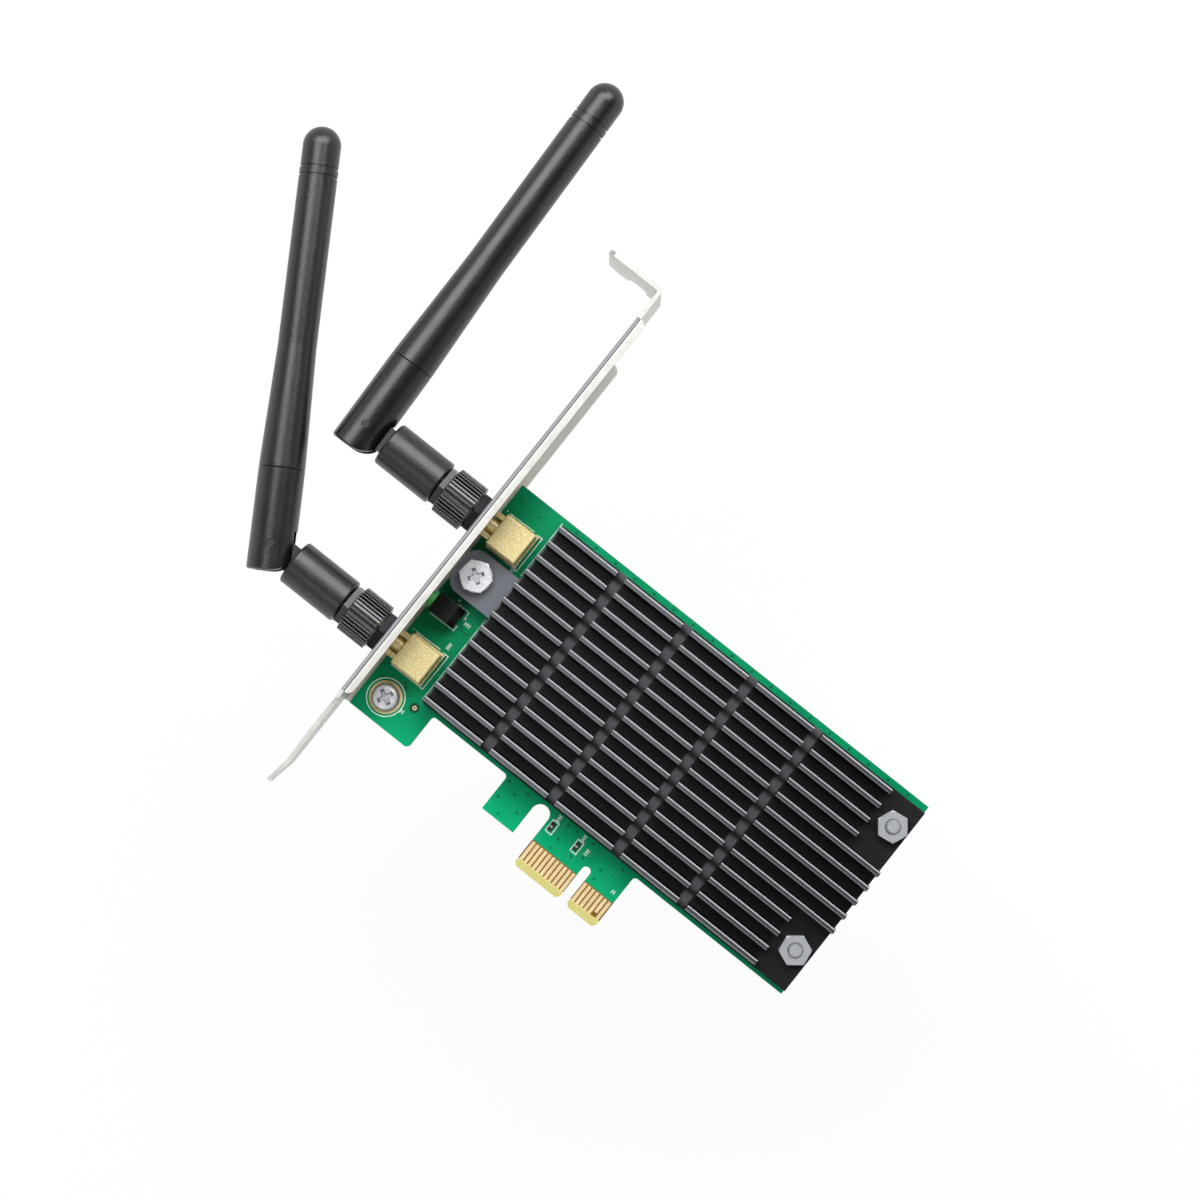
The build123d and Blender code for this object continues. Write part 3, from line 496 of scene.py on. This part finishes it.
test_pad = bmesh.new()
ring(test_pad, test_x, test_y, *pad_radii, board_face, board_face + pad_rise, sides=24)
piece("test_pad", test_pad, contact_gold, "card")
pad_clearing = bmesh.new()
ring(pad_clearing, test_x, test_y, 0.0, clearing_radius, board_face, board_face + clearing_rise,
     sides=32)
piece("pad_clearing", pad_clearing, hole_ring, "card")


# Chips, coil and crystal under the heatsink: moulded black cases with a fine eroded texture, a
# pressed ferrite block and a drawn metal lid. A soft pad takes the radio chip's heat upwards.
chip_case = plain("chip_case", 0.5, 0.0, ((34, 34, 36), (48, 48, 52)), cloud=(0.5, 2.0),
                  dents=(0.06, 2.0, 0.01), IOR=1.5)
dress(chip_case, "radio_chip", "front_end_chips")
ferrite = plain("pressed_ferrite", 0.7, 0.0, ((88, 88, 92), (118, 118, 120)), cloud=(0.2, 3.0),
                dents=(0.1, 3.0, 0.03), span=(0.35, 0.65))
dress(ferrite, "power_coil")
crystal_can = plain("crystal_can", 0.3, 1.0, ((196, 196, 194), (226, 226, 224)), cloud=(0.6, 2.0),
                    dents=(0.05, 2.0, 0.004), drawn=(8, 1, 1))
dress(crystal_can, "crystal")
soft_pad = plain("soft_pad", 0.85, 0.0, ((150, 158, 168), (176, 182, 190)), cloud=(0.3, 2.0),
                 dents=(0.25, 3.0, 0.05))
dress(soft_pad, "thermal_pad")


# Chip capacitors beside the edge contacts: fired ceramic blocks, held by a small slope of reflowed
# solder at each end. The tinned ends and the solder are painted dark, as a painted reflection.
capacitor_places, capacitor_y = (-10.8, -4.5), 10.45
body_half = 0.2
foot_half, foot_reach = 0.52, 0.95
brow_half, brow_reach, brow_rise = 0.32, 0.62, 0.3

ceramic, tree, shader = finish("ceramic_body", 0.35, IOR=1.6)
x, y, z = axes(tree)
from_middle = calculate(tree, "ABSOLUTE", calculate(tree, "SUBTRACT", y, capacitor_y))
# Painted reflection: the tinned ends are painted dark.
ends = calculate(tree, "GREATER_THAN", from_middle, body_half)
fired = clouded(tree, ((168, 160, 148), (190, 184, 172)), 0.2)
connect(tree, shader, Base_Color=blended(tree, ends, fired, paint(44, 36, 34)),
        Normal=bumpy(tree, noise(tree, 0.08, 2.0), 0.008))
dress(ceramic, "chip_capacitors")

fillets = bmesh.new()
for x in capacitor_places:
    for side in (-1, 1):
        rims = []
        for half, reach, rise in ((foot_half, foot_reach, 0), (brow_half, brow_reach, brow_rise)):
            corners = ((-half, body_half), (half, body_half), (half, reach), (-half, reach))
            rims.append([fillets.verts.new(((x + i) * mm, (capacitor_y + side * j) * mm,
                                            (board_face + rise) * mm)) for i, j in corners])
            fillets.faces.new(rims[-1])
        foot, brow = rims
        for n in range(4):
            k = (n + 1) % 4
            fillets.faces.new((foot[n], foot[k], brow[k], brow[n]))
# Painted reflection: the solder slopes are painted dark instead of bright metal.
reflowed = plain("reflowed_solder", 0.3, 0.0, ((30, 26, 24), (70, 64, 60)), cloud=(0.25, 2.0),
                 dents=(0.3, 2.0, 0.03), IOR=1.5)
piece("capacitor_fillets", fillets, reflowed, "card")


# Heatsink: an extruded aluminium plate with thirteen tapered fins, sawn across into five blocks,
# its tail corners milled away for the nuts, and anodised black.
low, high = (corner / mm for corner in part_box("heatsink"))
fin_count, fin_edge, fin_height, base_thick = 13, 1.08, 5.1, 2.0
fin_top, fin_root, fin_round, fin_sunk = 1.0, 1.65, 0.34, 0.4
corner_rows = 4
plate_left, pocket_end = -45.9, 36.7
plate_edge, plate_crease = 0.18, 0.6
cut_half, cut_pitch, first_cut = 1.05, 16.27, -30.4
tongue_low, tongue_high, tongue_round, tongue_steps = 34.8, 44.6, 3.0, 8
base_high = low.z + base_thick
fin_tip = base_high + fin_height
fin_pitch = (high.y - low.y - 2 * fin_edge) / (fin_count - 1)
# Painted light and shade on the black finish: shadow and shade blacks, and lit greys for the cut
# floors, the tongue, the fin tops and their edge highlights.
fin_end_shadow_black, gap_shade_blacks, flank_shade_black = (20, 20, 22), ((14, 14, 16), (24, 24, 27)), (6, 6, 7)
cut_light_grey, tongue_light_grey = (84, 84, 90), (112, 116, 124)
lit_top_from, lit_top_to = -20, 25
lit_top_greys, edge_highlight_greys = ((86, 87, 92), (56, 56, 60)), ((122, 123, 129), (182, 184, 191))


def shape_tree(name, inputs):
    """A new Geometry Nodes tree with these named inputs, and what they give inside it."""
    tree = bpy.data.node_groups.new(name, "GeometryNodeTree")
    for label, kind in inputs.items():
        tree.interface.new_socket(name=label, in_out="INPUT", socket_type="NodeSocket" + kind)
    tree.interface.new_socket(name="Geometry", in_out="OUTPUT", socket_type="NodeSocketGeometry")
    return tree, add(tree, "NodeGroupInput").outputs


def bar(tree, height, top, root, length, rounding, steps):
    """A bar along X with a rounded, tapered section. Swept along X the section comes out upside
    down, so its bottom width is the bar's top."""
    section = add(tree, "GeometryNodeCurvePrimitiveQuadrilateral",
                  {"Height": height, "Bottom Width": top, "Top Width": root, "Offset": 0.0},
                  mode="TRAPEZOID")
    rounded = add(tree, "GeometryNodeFilletCurve",
                  {"Curve": section.outputs[0], "Count": steps, "Radius": rounding}, mode="POLY")
    run = add(tree, "ShaderNodeCombineXYZ", {"X": length})
    path = add(tree, "GeometryNodeCurvePrimitiveLine", {"Start": (0, 0, 0), "End": run.outputs[0]})
    return add(tree, "GeometryNodeCurveToMesh", {"Curve": path.outputs[0], "Fill Caps": True,
                                                 "Profile Curve": rounded.outputs[0]}).outputs[0]


def end_tree(tree, instances, material):
    """Ends a tree with real geometry in its material."""
    real = add(tree, "GeometryNodeRealizeInstances", {"Geometry": instances})
    coated = add(tree, "GeometryNodeSetMaterial", {"Geometry": real.outputs[0],
                                                   "Material": material})
    add(tree, "NodeGroupOutput", {"Geometry": coated.outputs[0]})


def grown(tree, values):
    """The plain mesh that a tree makes with these input values."""
    seed = bpy.data.objects.new("seed", bpy.data.meshes.new("seed"))
    bpy.context.collection.objects.link(seed)
    modifier = seed.modifiers.new("made", "NODES")
    modifier.node_group = tree
    sockets = {item.name: item.identifier for item in tree.interface.items_tree
               if item.in_out == "INPUT"}
    for name, value in values.items():
        modifier[sockets[name]] = value
    view = bpy.context.evaluated_depsgraph_get()
    view.update()
    mesh = bpy.data.meshes.new_from_object(seed.evaluated_get(view))
    bpy.data.objects.remove(seed)
    return mesh


def facing(tree):
    """Which way the surface faces, as three numbers from -1 to 1."""
    normal = add(tree, "ShaderNodeTexCoord").outputs["Normal"]
    return add(tree, "ShaderNodeSeparateXYZ", {0: normal}).outputs


fin_rows, given = shape_tree("fin_rows", {
    "Rows": "Int", "Pitch": "Float", "Start": "Vector", "Length": "Float", "Height": "Float",
    "Top": "Float", "Root": "Float", "Rounding": "Float", "Finish": "Material"})
fin = bar(fin_rows, given["Height"], given["Top"], given["Root"], given["Length"],
          given["Rounding"], steps=5)
drop = calculate(fin_rows, "MULTIPLY", given["Pitch"], -1.0)
gap = add(fin_rows, "ShaderNodeCombineXYZ", {"Y": drop})
places = add(fin_rows, "GeometryNodeMeshLine",
             {"Count": given["Rows"], "Start Location": given["Start"], "Offset": gap.outputs[0]})
fins = add(fin_rows, "GeometryNodeInstanceOnPoints",
           {"Points": places.outputs[0], "Instance": fin})
end_tree(fin_rows, fins.outputs[0], given["Finish"])

# The finish, in painted light and shade: fin tops painted lighter, paler towards the bracket,
# with painted highlights on their rounded edges; flanks and gap floors painted near black as
# painted shade; and paler floors in the cuts and on the tongue as painted light, in the cuts
# between painted shadows of the fin ends.
anodised, tree, shader = finish("black_anodised", 0.42, IOR=1.5, Specular_IOR_Level=0.3)
x, y, z = axes(tree)
face = facing(tree)
# Painted light on the fin tops, paler towards the bracket and darker towards the tail.
near_grey, far_grey = (paint(*grey) for grey in lit_top_greys)
lit_tops = blended(tree, between(tree, x, lit_top_from, lit_top_to), near_grey, far_grey)
# Painted highlights on the rounded fin edges, brighter on the edge facing +Y, towards the top lamp.
shaded_edge, lit_edge = (paint(*grey) for grey in edge_highlight_greys)
edge_highlights = blended(tree, between(tree, face["Y"], -0.3, 0.3), shaded_edge, lit_edge)
crest = blended(tree, between(tree, face["Z"], 0.99, 0.9), lit_tops, edge_highlights)
# Painted light and shadow on the floors of the cuts: lit patches between painted shadows of the fin
# ends.
from_cut = calculate(tree, "PINGPONG", calculate(tree, "SUBTRACT", x, first_cut), cut_pitch / 2)
past_cuts = between(tree, x, first_cut + 3.4 * cut_pitch, first_cut + 3.5 * cut_pitch, 0, 9)
from_cut = calculate(tree, "MAXIMUM", from_cut, past_cuts)
from_row = calculate(tree, "PINGPONG", calculate(tree, "SUBTRACT", y, high.y - fin_edge + 1.0),
                     fin_pitch / 2)
cut_light_and_shadow = blended(tree, between(tree, from_row, 0.8, 1.6), paint(*cut_light_grey), paint(*fin_end_shadow_black))
# Painted shade on the floors of the gaps between the fins.
gap_shade = clouded(tree, gap_shade_blacks, 2.5, 3.0, stretch=(6, 1, 1))
gap_floor = blended(tree, between(tree, from_cut, cut_half + 0.1, cut_half - 0.1), gap_shade, cut_light_and_shadow)
# Painted light: the tongue's open floor is painted paler.
gap_floor = blended(tree, between(tree, x, plate_left + 0.3, plate_left - 0.1), gap_floor,
                    paint(*tongue_light_grey))
# Painted shade: steep flanks are painted near black.
flank = blended(tree, between(tree, face["Z"], 0.3, 0.7), paint(*flank_shade_black), gap_floor)
at_tip = between(tree, z, fin_tip - 0.36, fin_tip - 0.24)
drawn = bumpy(tree, noise(tree, 0.3, 2.0, (40, 1, 1)), 0.008)
connect(tree, shader, Base_Color=blended(tree, at_tip, flank, crest),
        Roughness=uneven_gloss(tree, 0.3, 0.36, 0.48, 3.0, (14, 1, 1)),
        Normal=bumpy(tree, noise(tree, 0.3, 2.0), 0.004, drawn))

sink = bmesh.new()
spans = [(plate_left, first_cut - cut_half, 0, fin_count)]
spans += [(first_cut + n * cut_pitch + cut_half, first_cut + (n + 1) * cut_pitch - cut_half,
           0, fin_count) for n in range(3)]
tail = first_cut + 3 * cut_pitch + cut_half
spans += [(tail, pocket_end, 0, corner_rows),
          (tail, high.x, corner_rows, fin_count - corner_rows),
          (tail, pocket_end, fin_count - corner_rows, fin_count)]
for left, right, first, last in spans:
    start = (left, high.y - fin_edge - first * fin_pitch,
             base_high - fin_sunk + (fin_height + fin_sunk) / 2)
    block = grown(fin_rows, {
        "Rows": last - first, "Pitch": fin_pitch * mm, "Start": tuple(v * mm for v in start),
        "Length": (right - left) * mm, "Height": (fin_height + fin_sunk) * mm,
        "Top": fin_top * mm, "Root": fin_root * mm, "Rounding": fin_round * mm, "Finish": anodised})
    sink.from_mesh(block)

outline = [(high.x, low.y), (high.x, high.y), (plate_left, high.y), (plate_left, tongue_high)]
for centre, turn in ((tongue_high - tongue_round, 90), (tongue_low + tongue_round, 180)):
    angles = [math.radians(turn + 90 * n / tongue_steps) for n in range(tongue_steps + 1)]
    outline += [(low.x + tongue_round + tongue_round * math.cos(a),
                 centre + tongue_round * math.sin(a)) for a in angles]
outline += [(plate_left, tongue_low), (plate_left, low.y)]
plate = bmesh.new()
under = [plate.verts.new((x * mm, y * mm, low.z * mm)) for x, y in outline]
over = [plate.verts.new((x * mm, y * mm, base_high * mm)) for x, y in outline]
plate.faces.new(under)
plate.faces.new(over)
for n in range(len(outline)):
    k = (n + 1) % len(outline)
    plate.faces.new((under[n], under[k], over[k], over[n]))
bmesh.ops.bevel(plate, geom=[e for e in plate.edges if e.calc_face_angle(0) > plate_crease],
                offset=plate_edge * mm, segments=2, affect="EDGES", profile=0.5)
plate_data = bpy.data.meshes.new("plate")
plate.to_mesh(plate_data)
plate.free()
sink.from_mesh(plate_data)
heatsink = piece("finned_heatsink", sink, anodised, "card", smooth=35)
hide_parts("heatsink")


# Screws, nuts and spacers: zinc-plated steel screws with pressed heads, two hexagon nuts on the
# studs at the tail, and turned brass spacers. Their edges are broken as on the real ones.
sharp_turn = 30
recess_reach, recess_draw = 1.95, 0.72
sink_screw_x, sink_screw_y = -52.9, 39.7
tail_x, tail_rows = 41.4, (52.1, 21.4)
tail_grey_from, tail_grey_to = 20, 30
steel_pieces = {
    "board_screw": {"width": 0.1, "recesses": [(screw_x, screw_y, 1.65, 0.2)]},
    "heatsink_screw": {"width": 0.12, "recesses": [(sink_screw_x, sink_screw_y, 5.5, 0.2)]},
    "tail_screws": {"width": 0.1, "recesses": [(tail_x, y, -1.6, -0.45) for y in tail_rows]},
    "tail_nuts": {"width": 0.14, "recesses": []},
}


def softened(name, node, width, material, body, segments=2, recesses=()):
    """A copy of a CAD node with its sharp edges rounded, which takes the node's place. A cross
    recess is given by the place, level and shift of its floor. The floor is drawn in and moved by
    that shift, so that the walls slope."""
    mesh = bmesh.new()
    mesh.from_mesh(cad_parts[node].data)
    bmesh.ops.remove_doubles(mesh, verts=mesh.verts, dist=0.0005 * mm)
    bmesh.ops.dissolve_limit(mesh, angle_limit=math.radians(0.5), verts=mesh.verts,
                             edges=mesh.edges)
    weight = mesh.edges.layers.float.new("bevel_weight_edge")
    for edge in mesh.edges:
        edge.smooth = True
        edge[weight] = 1.0 if edge.calc_face_angle(0) > math.radians(sharp_turn) else 0.0
    for face in mesh.faces:
        face.smooth = True
    for centre_x, centre_y, floor_level, shift in recesses:
        centre = Vector((centre_x, centre_y, floor_level)) * mm
        reach = recess_reach * mm
        for edge in mesh.edges:
            if edge[weight] and all((end.co - centre).xy.length < reach for end in edge.verts):
                edge[weight] = 0.0
                edge.smooth = False
        for corner in mesh.verts:
            away = corner.co - centre
            if abs(away.z) < 0.02 * mm and away.xy.length < reach:
                corner.co = centre + Vector((away.x * recess_draw, away.y * recess_draw,
                                             shift * mm))
    data = bpy.data.meshes.new(name)
    mesh.to_mesh(data)
    mesh.free()
    made = bpy.data.objects.new(name, data)
    bpy.context.collection.objects.link(made)
    rounding = made.modifiers.new("rounding", "BEVEL")
    rounding.width = width * mm
    rounding.segments = segments
    rounding.limit_method = "WEIGHT"
    flatness = made.modifiers.new("flatness", "WEIGHTED_NORMAL")
    flatness.keep_sharp = True
    flatness.weight = 100
    view = bpy.context.evaluated_depsgraph_get()
    view.update()
    worked = bpy.data.meshes.new_from_object(made.evaluated_get(view))
    bpy.data.objects.remove(made)
    finished = piece(name, worked, material, body)
    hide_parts(node)


zinc, tree, shader = finish("zinc_plate", 0.34, 0.3)
x, y, z = axes(tree)
tone = clouded(tree, ((226, 228, 235), (244, 246, 250)), 0.7, 3.0, (0.35, 0.65))
tone = blended(tree, between(tree, x, tail_grey_from, tail_grey_to), tone, paint(176, 179, 184))
# Painted shade: faces that slope away from level are painted darker.
sloped = between(tree, calculate(tree, "ABSOLUTE", facing(tree)["Z"]), 0.9, 0.6)
connect(tree, shader, Base_Color=blended(tree, sloped, tone, paint(142, 144, 151)),
        Roughness=uneven_gloss(tree, 0.4, 0.3, 0.4, 3.0),
        Normal=bumpy(tree, noise(tree, 0.3, 3.0), 0.003))
for node, work in steel_pieces.items():
    softened("rounded_" + node, node, work["width"], zinc, "card",
             recesses=work["recesses"])

turned_brass = plain("turned_brass", 0.35, 1.0, ((196, 168, 104), (220, 194, 130)),
                     cloud=(0.5, 2.0), dents=(0.05, 2.0, 0.01), drawn=(8, 8, 1))
dress(turned_brass, "spacers")


# Slot bracket: bright-plated sheet steel, folded into a channel. Its faces are softly mottled by
# the plating, and painted paler low down as painted light. Its folds and rounded edges are painted
# greyer as painted shade, with a thin painted shadow line above the lower tongue.
bracket_edge = 0.12
tongue_end = 6.1
fold_turn = 0.93
pale_above, pale_below = 0.5, -1.5

plated, tree, shader = finish("plated_steel", 0.38, 0.25)
x, y, z = axes(tree)
face = facing(tree)
tone = clouded(tree, ((206, 205, 200), (218, 217, 211)), 2.2, 4.0)
# Painted light: parts low on the bracket, under the board, are painted paler.
tone = blended(tree, between(tree, z, pale_above, pale_below), tone, paint(255, 254, 250))
across = calculate(tree, "MAXIMUM", calculate(tree, "ABSOLUTE", face["Z"]),
                   calculate(tree, "ABSOLUTE", face["X"]))
squareness = calculate(tree, "MAXIMUM", calculate(tree, "ABSOLUTE", face["Y"]), across)
from_line = calculate(tree, "ABSOLUTE", calculate(tree, "SUBTRACT", squareness, fold_turn))
# Painted shade: folds and rounded edges are painted greyer, and a painted shadow line runs along
# the fold above the lower tongue.
tone = blended(tree, between(tree, squareness, 0.97, 0.9), tone, paint(164, 166, 170))
fold_line = calculate(tree, "MULTIPLY", between(tree, from_line, 0.05, 0.03),
                      between(tree, y, tongue_end - 0.3, tongue_end + 0.3))
rolled = bumpy(tree, noise(tree, 0.12, 3.0, (1, 14, 1)), 0.0012)
connect(tree, shader, Base_Color=blended(tree, fold_line, tone, paint(74, 75, 78)),
        Roughness=uneven_gloss(tree, 1.2, 0.3, 0.44, 4.0),
        Normal=bumpy(tree, noise(tree, 0.9, 3.0), 0.005, rolled))
softened("folded_bracket", "bracket", bracket_edge, plated, "card")


# Antenna jacks: brass blocks, bead-blasted and gold plated, soldered to the board, each with a
# barrel through the bracket, a white dielectric, a springy washer and a black hexagon nut.
jack_edge, jack_nut_edge, washer_edge = 0.12, 0.15, 0.08

jack_gold, tree, shader = finish("blasted_gold", 0.42, 0.4)
speckle = noise(tree, 0.28, 3.0)
connect(tree, shader,
        Base_Color=blended(tree, between(tree, speckle, 0.36, 0.64), paint(206, 184, 123),
                           paint(240, 226, 172)),
        Roughness=uneven_gloss(tree, 0.2, 0.34, 0.48),
        Normal=bumpy(tree, speckle, 0.035))
softened("gold_jack_upper", "jack_upper", jack_edge, jack_gold, "card")
softened("gold_jack_lower", "jack_lower", jack_edge, jack_gold, "card")
dress(contact_gold, "jack_contacts")

dielectric = plain("dielectric", 0.5, 0.0, ((226, 226, 220), (242, 242, 238)), cloud=(0.6, 2.0),
                   dents=(0.1, 2.0, 0.01), IOR=1.4)
dress(dielectric, "jack_insulators", "upper_plug_insulator", "lower_plug_insulator")

black_nut = plain("black_nut", 0.34, 0.6, ((14, 15, 17), (30, 31, 35)), cloud=(0.5, 2.0),
                  dents=(0.15, 3.0, 0.015))
softened("black_jack_nuts", "jack_nuts", jack_nut_edge, black_nut, "card")
softened("black_jack_washers", "jack_washers", washer_edge, black_nut, "card")

solder_metal = plain("solder_metal", 0.25, 1.0, ((190, 192, 196), (220, 222, 226)),
                     cloud=(0.4, 2.0), dents=(0.5, 2.0, 0.04))
dress(solder_metal, "solder_joints", "lamp_leads")


# Status lamp: a glossy black moulded housing, soldered to the board by its leads, with a clear
# green lens that looks out through the bracket.
housing_edge = 0.18

lamp_case = plain("lamp_case", 0.3, 0.0, ((9, 7, 9), (14, 11, 14)), cloud=(1.5, 2.0),
                  dents=(0.3, 2.0, 0.006), IOR=1.45)
softened("moulded_lamp_housing", "lamp_housing", housing_edge, lamp_case, "card",
         segments=3)
green_lens = plain("green_lens", 0.2, 0.0, ((66, 180, 84), (104, 214, 112)), cloud=(0.9, 2.0),
                   dents=(0.6, 1.0, 0.02), IOR=1.5, Transmission_Weight=0.12)
dress(green_lens, "lamp_lens")


# Antennas: a glossy knurled grip nut with a hexagonal collar, a swivel barrel with a flat knuckle,
# and a folding rod in two shells, all moulded in black plastic. Barrel and rod have a fine grain.
nut_front, axis_high = -61.52, 4.3
grip_length, grip_radius, core_radius, core_edge = 6.8, 5.05, 4.5, 0.2
thread_radius, neck_radius, nut_floor = 3.25, 2.62, 6.0
rib_count, rib_length, rib_height, rib_foot, rib_crest, rib_round = 36, 6.3, 0.76, 0.6, 0.3, 0.1
rib_end = 6.55
collar, collar_flats, collar_turn, collar_start = 1.45, 8.0, 37, 6.5
collar_foot_ease, collar_brow_ease, collar_end_ease, collar_bevel = 0.2, 0.06, 0.4, 0.25
pin_rim_radii, pin_rim_depth, pin_rim_rise = (0.86, 1.06), 0.5, 0.05

rod_plastic, tree, shader = finish("rod_plastic", 0.32, IOR=1.65)
grain = noise(tree, 0.36, 2.0)
connect(tree, shader,
        Base_Color=blended(tree, between(tree, grain, 0.35, 0.65), paint(6, 7, 8),
                           paint(15, 16, 18)),
        Roughness=uneven_gloss(tree, 4.0, 0.3, 0.35),
        Normal=bumpy(tree, grain, 0.03))
grip_plastic = plain("grip_plastic", 0.22, 0.0, ((10, 11, 12), (18, 19, 21)), cloud=(2.0, 2.0),
                     dents=(0.3, 2.0, 0.004), IOR=2.0)
drawn_brass = plain("drawn_brass", 0.32, 1.0, ((204, 172, 104), (226, 196, 130)),
                    cloud=(0.8, 2.0), dents=(0.1, 2.0, 0.006))

grip_ribs, given = shape_tree("grip_ribs", {
    "Ribs": "Int", "Radius": "Float", "Length": "Float", "Height": "Float", "Foot": "Float",
    "Crest": "Float", "Rounding": "Float", "Finish": "Material"})
rib = bar(grip_ribs, given["Height"], given["Crest"], given["Foot"], given["Length"],
          given["Rounding"], steps=3)
rise = add(grip_ribs, "ShaderNodeCombineXYZ", {"Z": given["Radius"]})
raised = add(grip_ribs, "GeometryNodeTransform", {"Geometry": rib, "Translation": rise.outputs[0]})
points = add(grip_ribs, "GeometryNodePoints", {"Count": given["Ribs"]})
number = add(grip_ribs, "GeometryNodeInputIndex").outputs[0]
share = calculate(grip_ribs, "DIVIDE", number, given["Ribs"])
turn = add(grip_ribs, "ShaderNodeCombineXYZ",
           {"X": calculate(grip_ribs, "MULTIPLY", share, 2 * math.pi)})
set_round = add(grip_ribs, "GeometryNodeInstanceOnPoints",
                {"Points": points.outputs[0], "Instance": raised.outputs[0],
                 "Rotation": turn.outputs[0]})
end_tree(grip_ribs, set_round.outputs[0], given["Finish"])


def turned(mesh, x, y, z, profile, sides, turn=0.0):
    """A closed ring about an axis along the antenna, from (distance out, radius) points."""
    rings = []
    angles = [turn + 2 * math.pi * n / sides for n in range(sides)]
    for out, radius in profile:
        rings.append([mesh.verts.new(((x - out) * mm, (y + radius * math.cos(a)) * mm,
                                      (z + radius * math.sin(a)) * mm)) for a in angles])
    for first, second in zip(rings, rings[1:] + rings[:1]):
        for n in range(sides):
            k = (n + 1) % sides
            mesh.faces.new((first[n], first[k], second[k], second[n]))


for which, y in zip(("upper", "lower"), jack_places):
    grip = bmesh.new()
    turned(grip, nut_front, y, axis_high, [
        (0.0, thread_radius), (0.0, core_radius - core_edge), (core_edge, core_radius),
        (grip_length - core_edge, core_radius), (grip_length, core_radius - core_edge),
        (grip_length, neck_radius), (nut_floor, neck_radius), (nut_floor, thread_radius)],
        sides=64)
    ribs = grown(grip_ribs, {
        "Ribs": rib_count, "Radius": (grip_radius - rib_height / 2) * mm,
        "Length": rib_length * mm, "Height": rib_height * mm, "Foot": rib_foot * mm,
        "Crest": rib_crest * mm, "Rounding": rib_round * mm, "Finish": grip_plastic})
    ribs.transform(Matrix.Translation(Vector((nut_front - rib_end, y, axis_high)) * mm))
    grip.from_mesh(ribs)
    knurled = piece(which + "_knurled_grip", grip, grip_plastic, which + "_nut",
                    smooth=35)
    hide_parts(which + "_coupling_nut")

    corner = collar_flats / 2 / math.cos(math.pi / 6)
    collar_end = grip_length + collar
    collar_ring = bmesh.new()
    turned(collar_ring, nut_front, y, axis_high, [
        (collar_start, neck_radius), (collar_start, corner - collar_foot_ease),
        (collar_end - collar_bevel, corner - collar_brow_ease),
        (collar_end, corner - collar_end_ease), (collar_end, neck_radius)],
        sides=6, turn=math.radians(collar_turn))
    piece(which + "_grip_collar", collar_ring, rod_plastic, which + "_nut")

    pin_low, pin_high = (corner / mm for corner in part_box(which + "_hinge_pin"))
    pin_rim = bmesh.new()
    ring(pin_rim, (pin_low.x + pin_high.x) / 2, (pin_low.y + pin_high.y) / 2, *pin_rim_radii,
         pin_high.z - pin_rim_depth, pin_high.z + pin_rim_rise, sides=32)
    piece(which + "_pin_rim", pin_rim, grip_plastic, which + "_rod")

    dress(rod_plastic, which + "_swivel", which + "_rod_base", which + "_rod_sleeve",
          which + "_hinge_pin", which + "_feed_lead")
    dress(drawn_brass, which + "_radiator", which + "_plug", which + "_plug_contact")
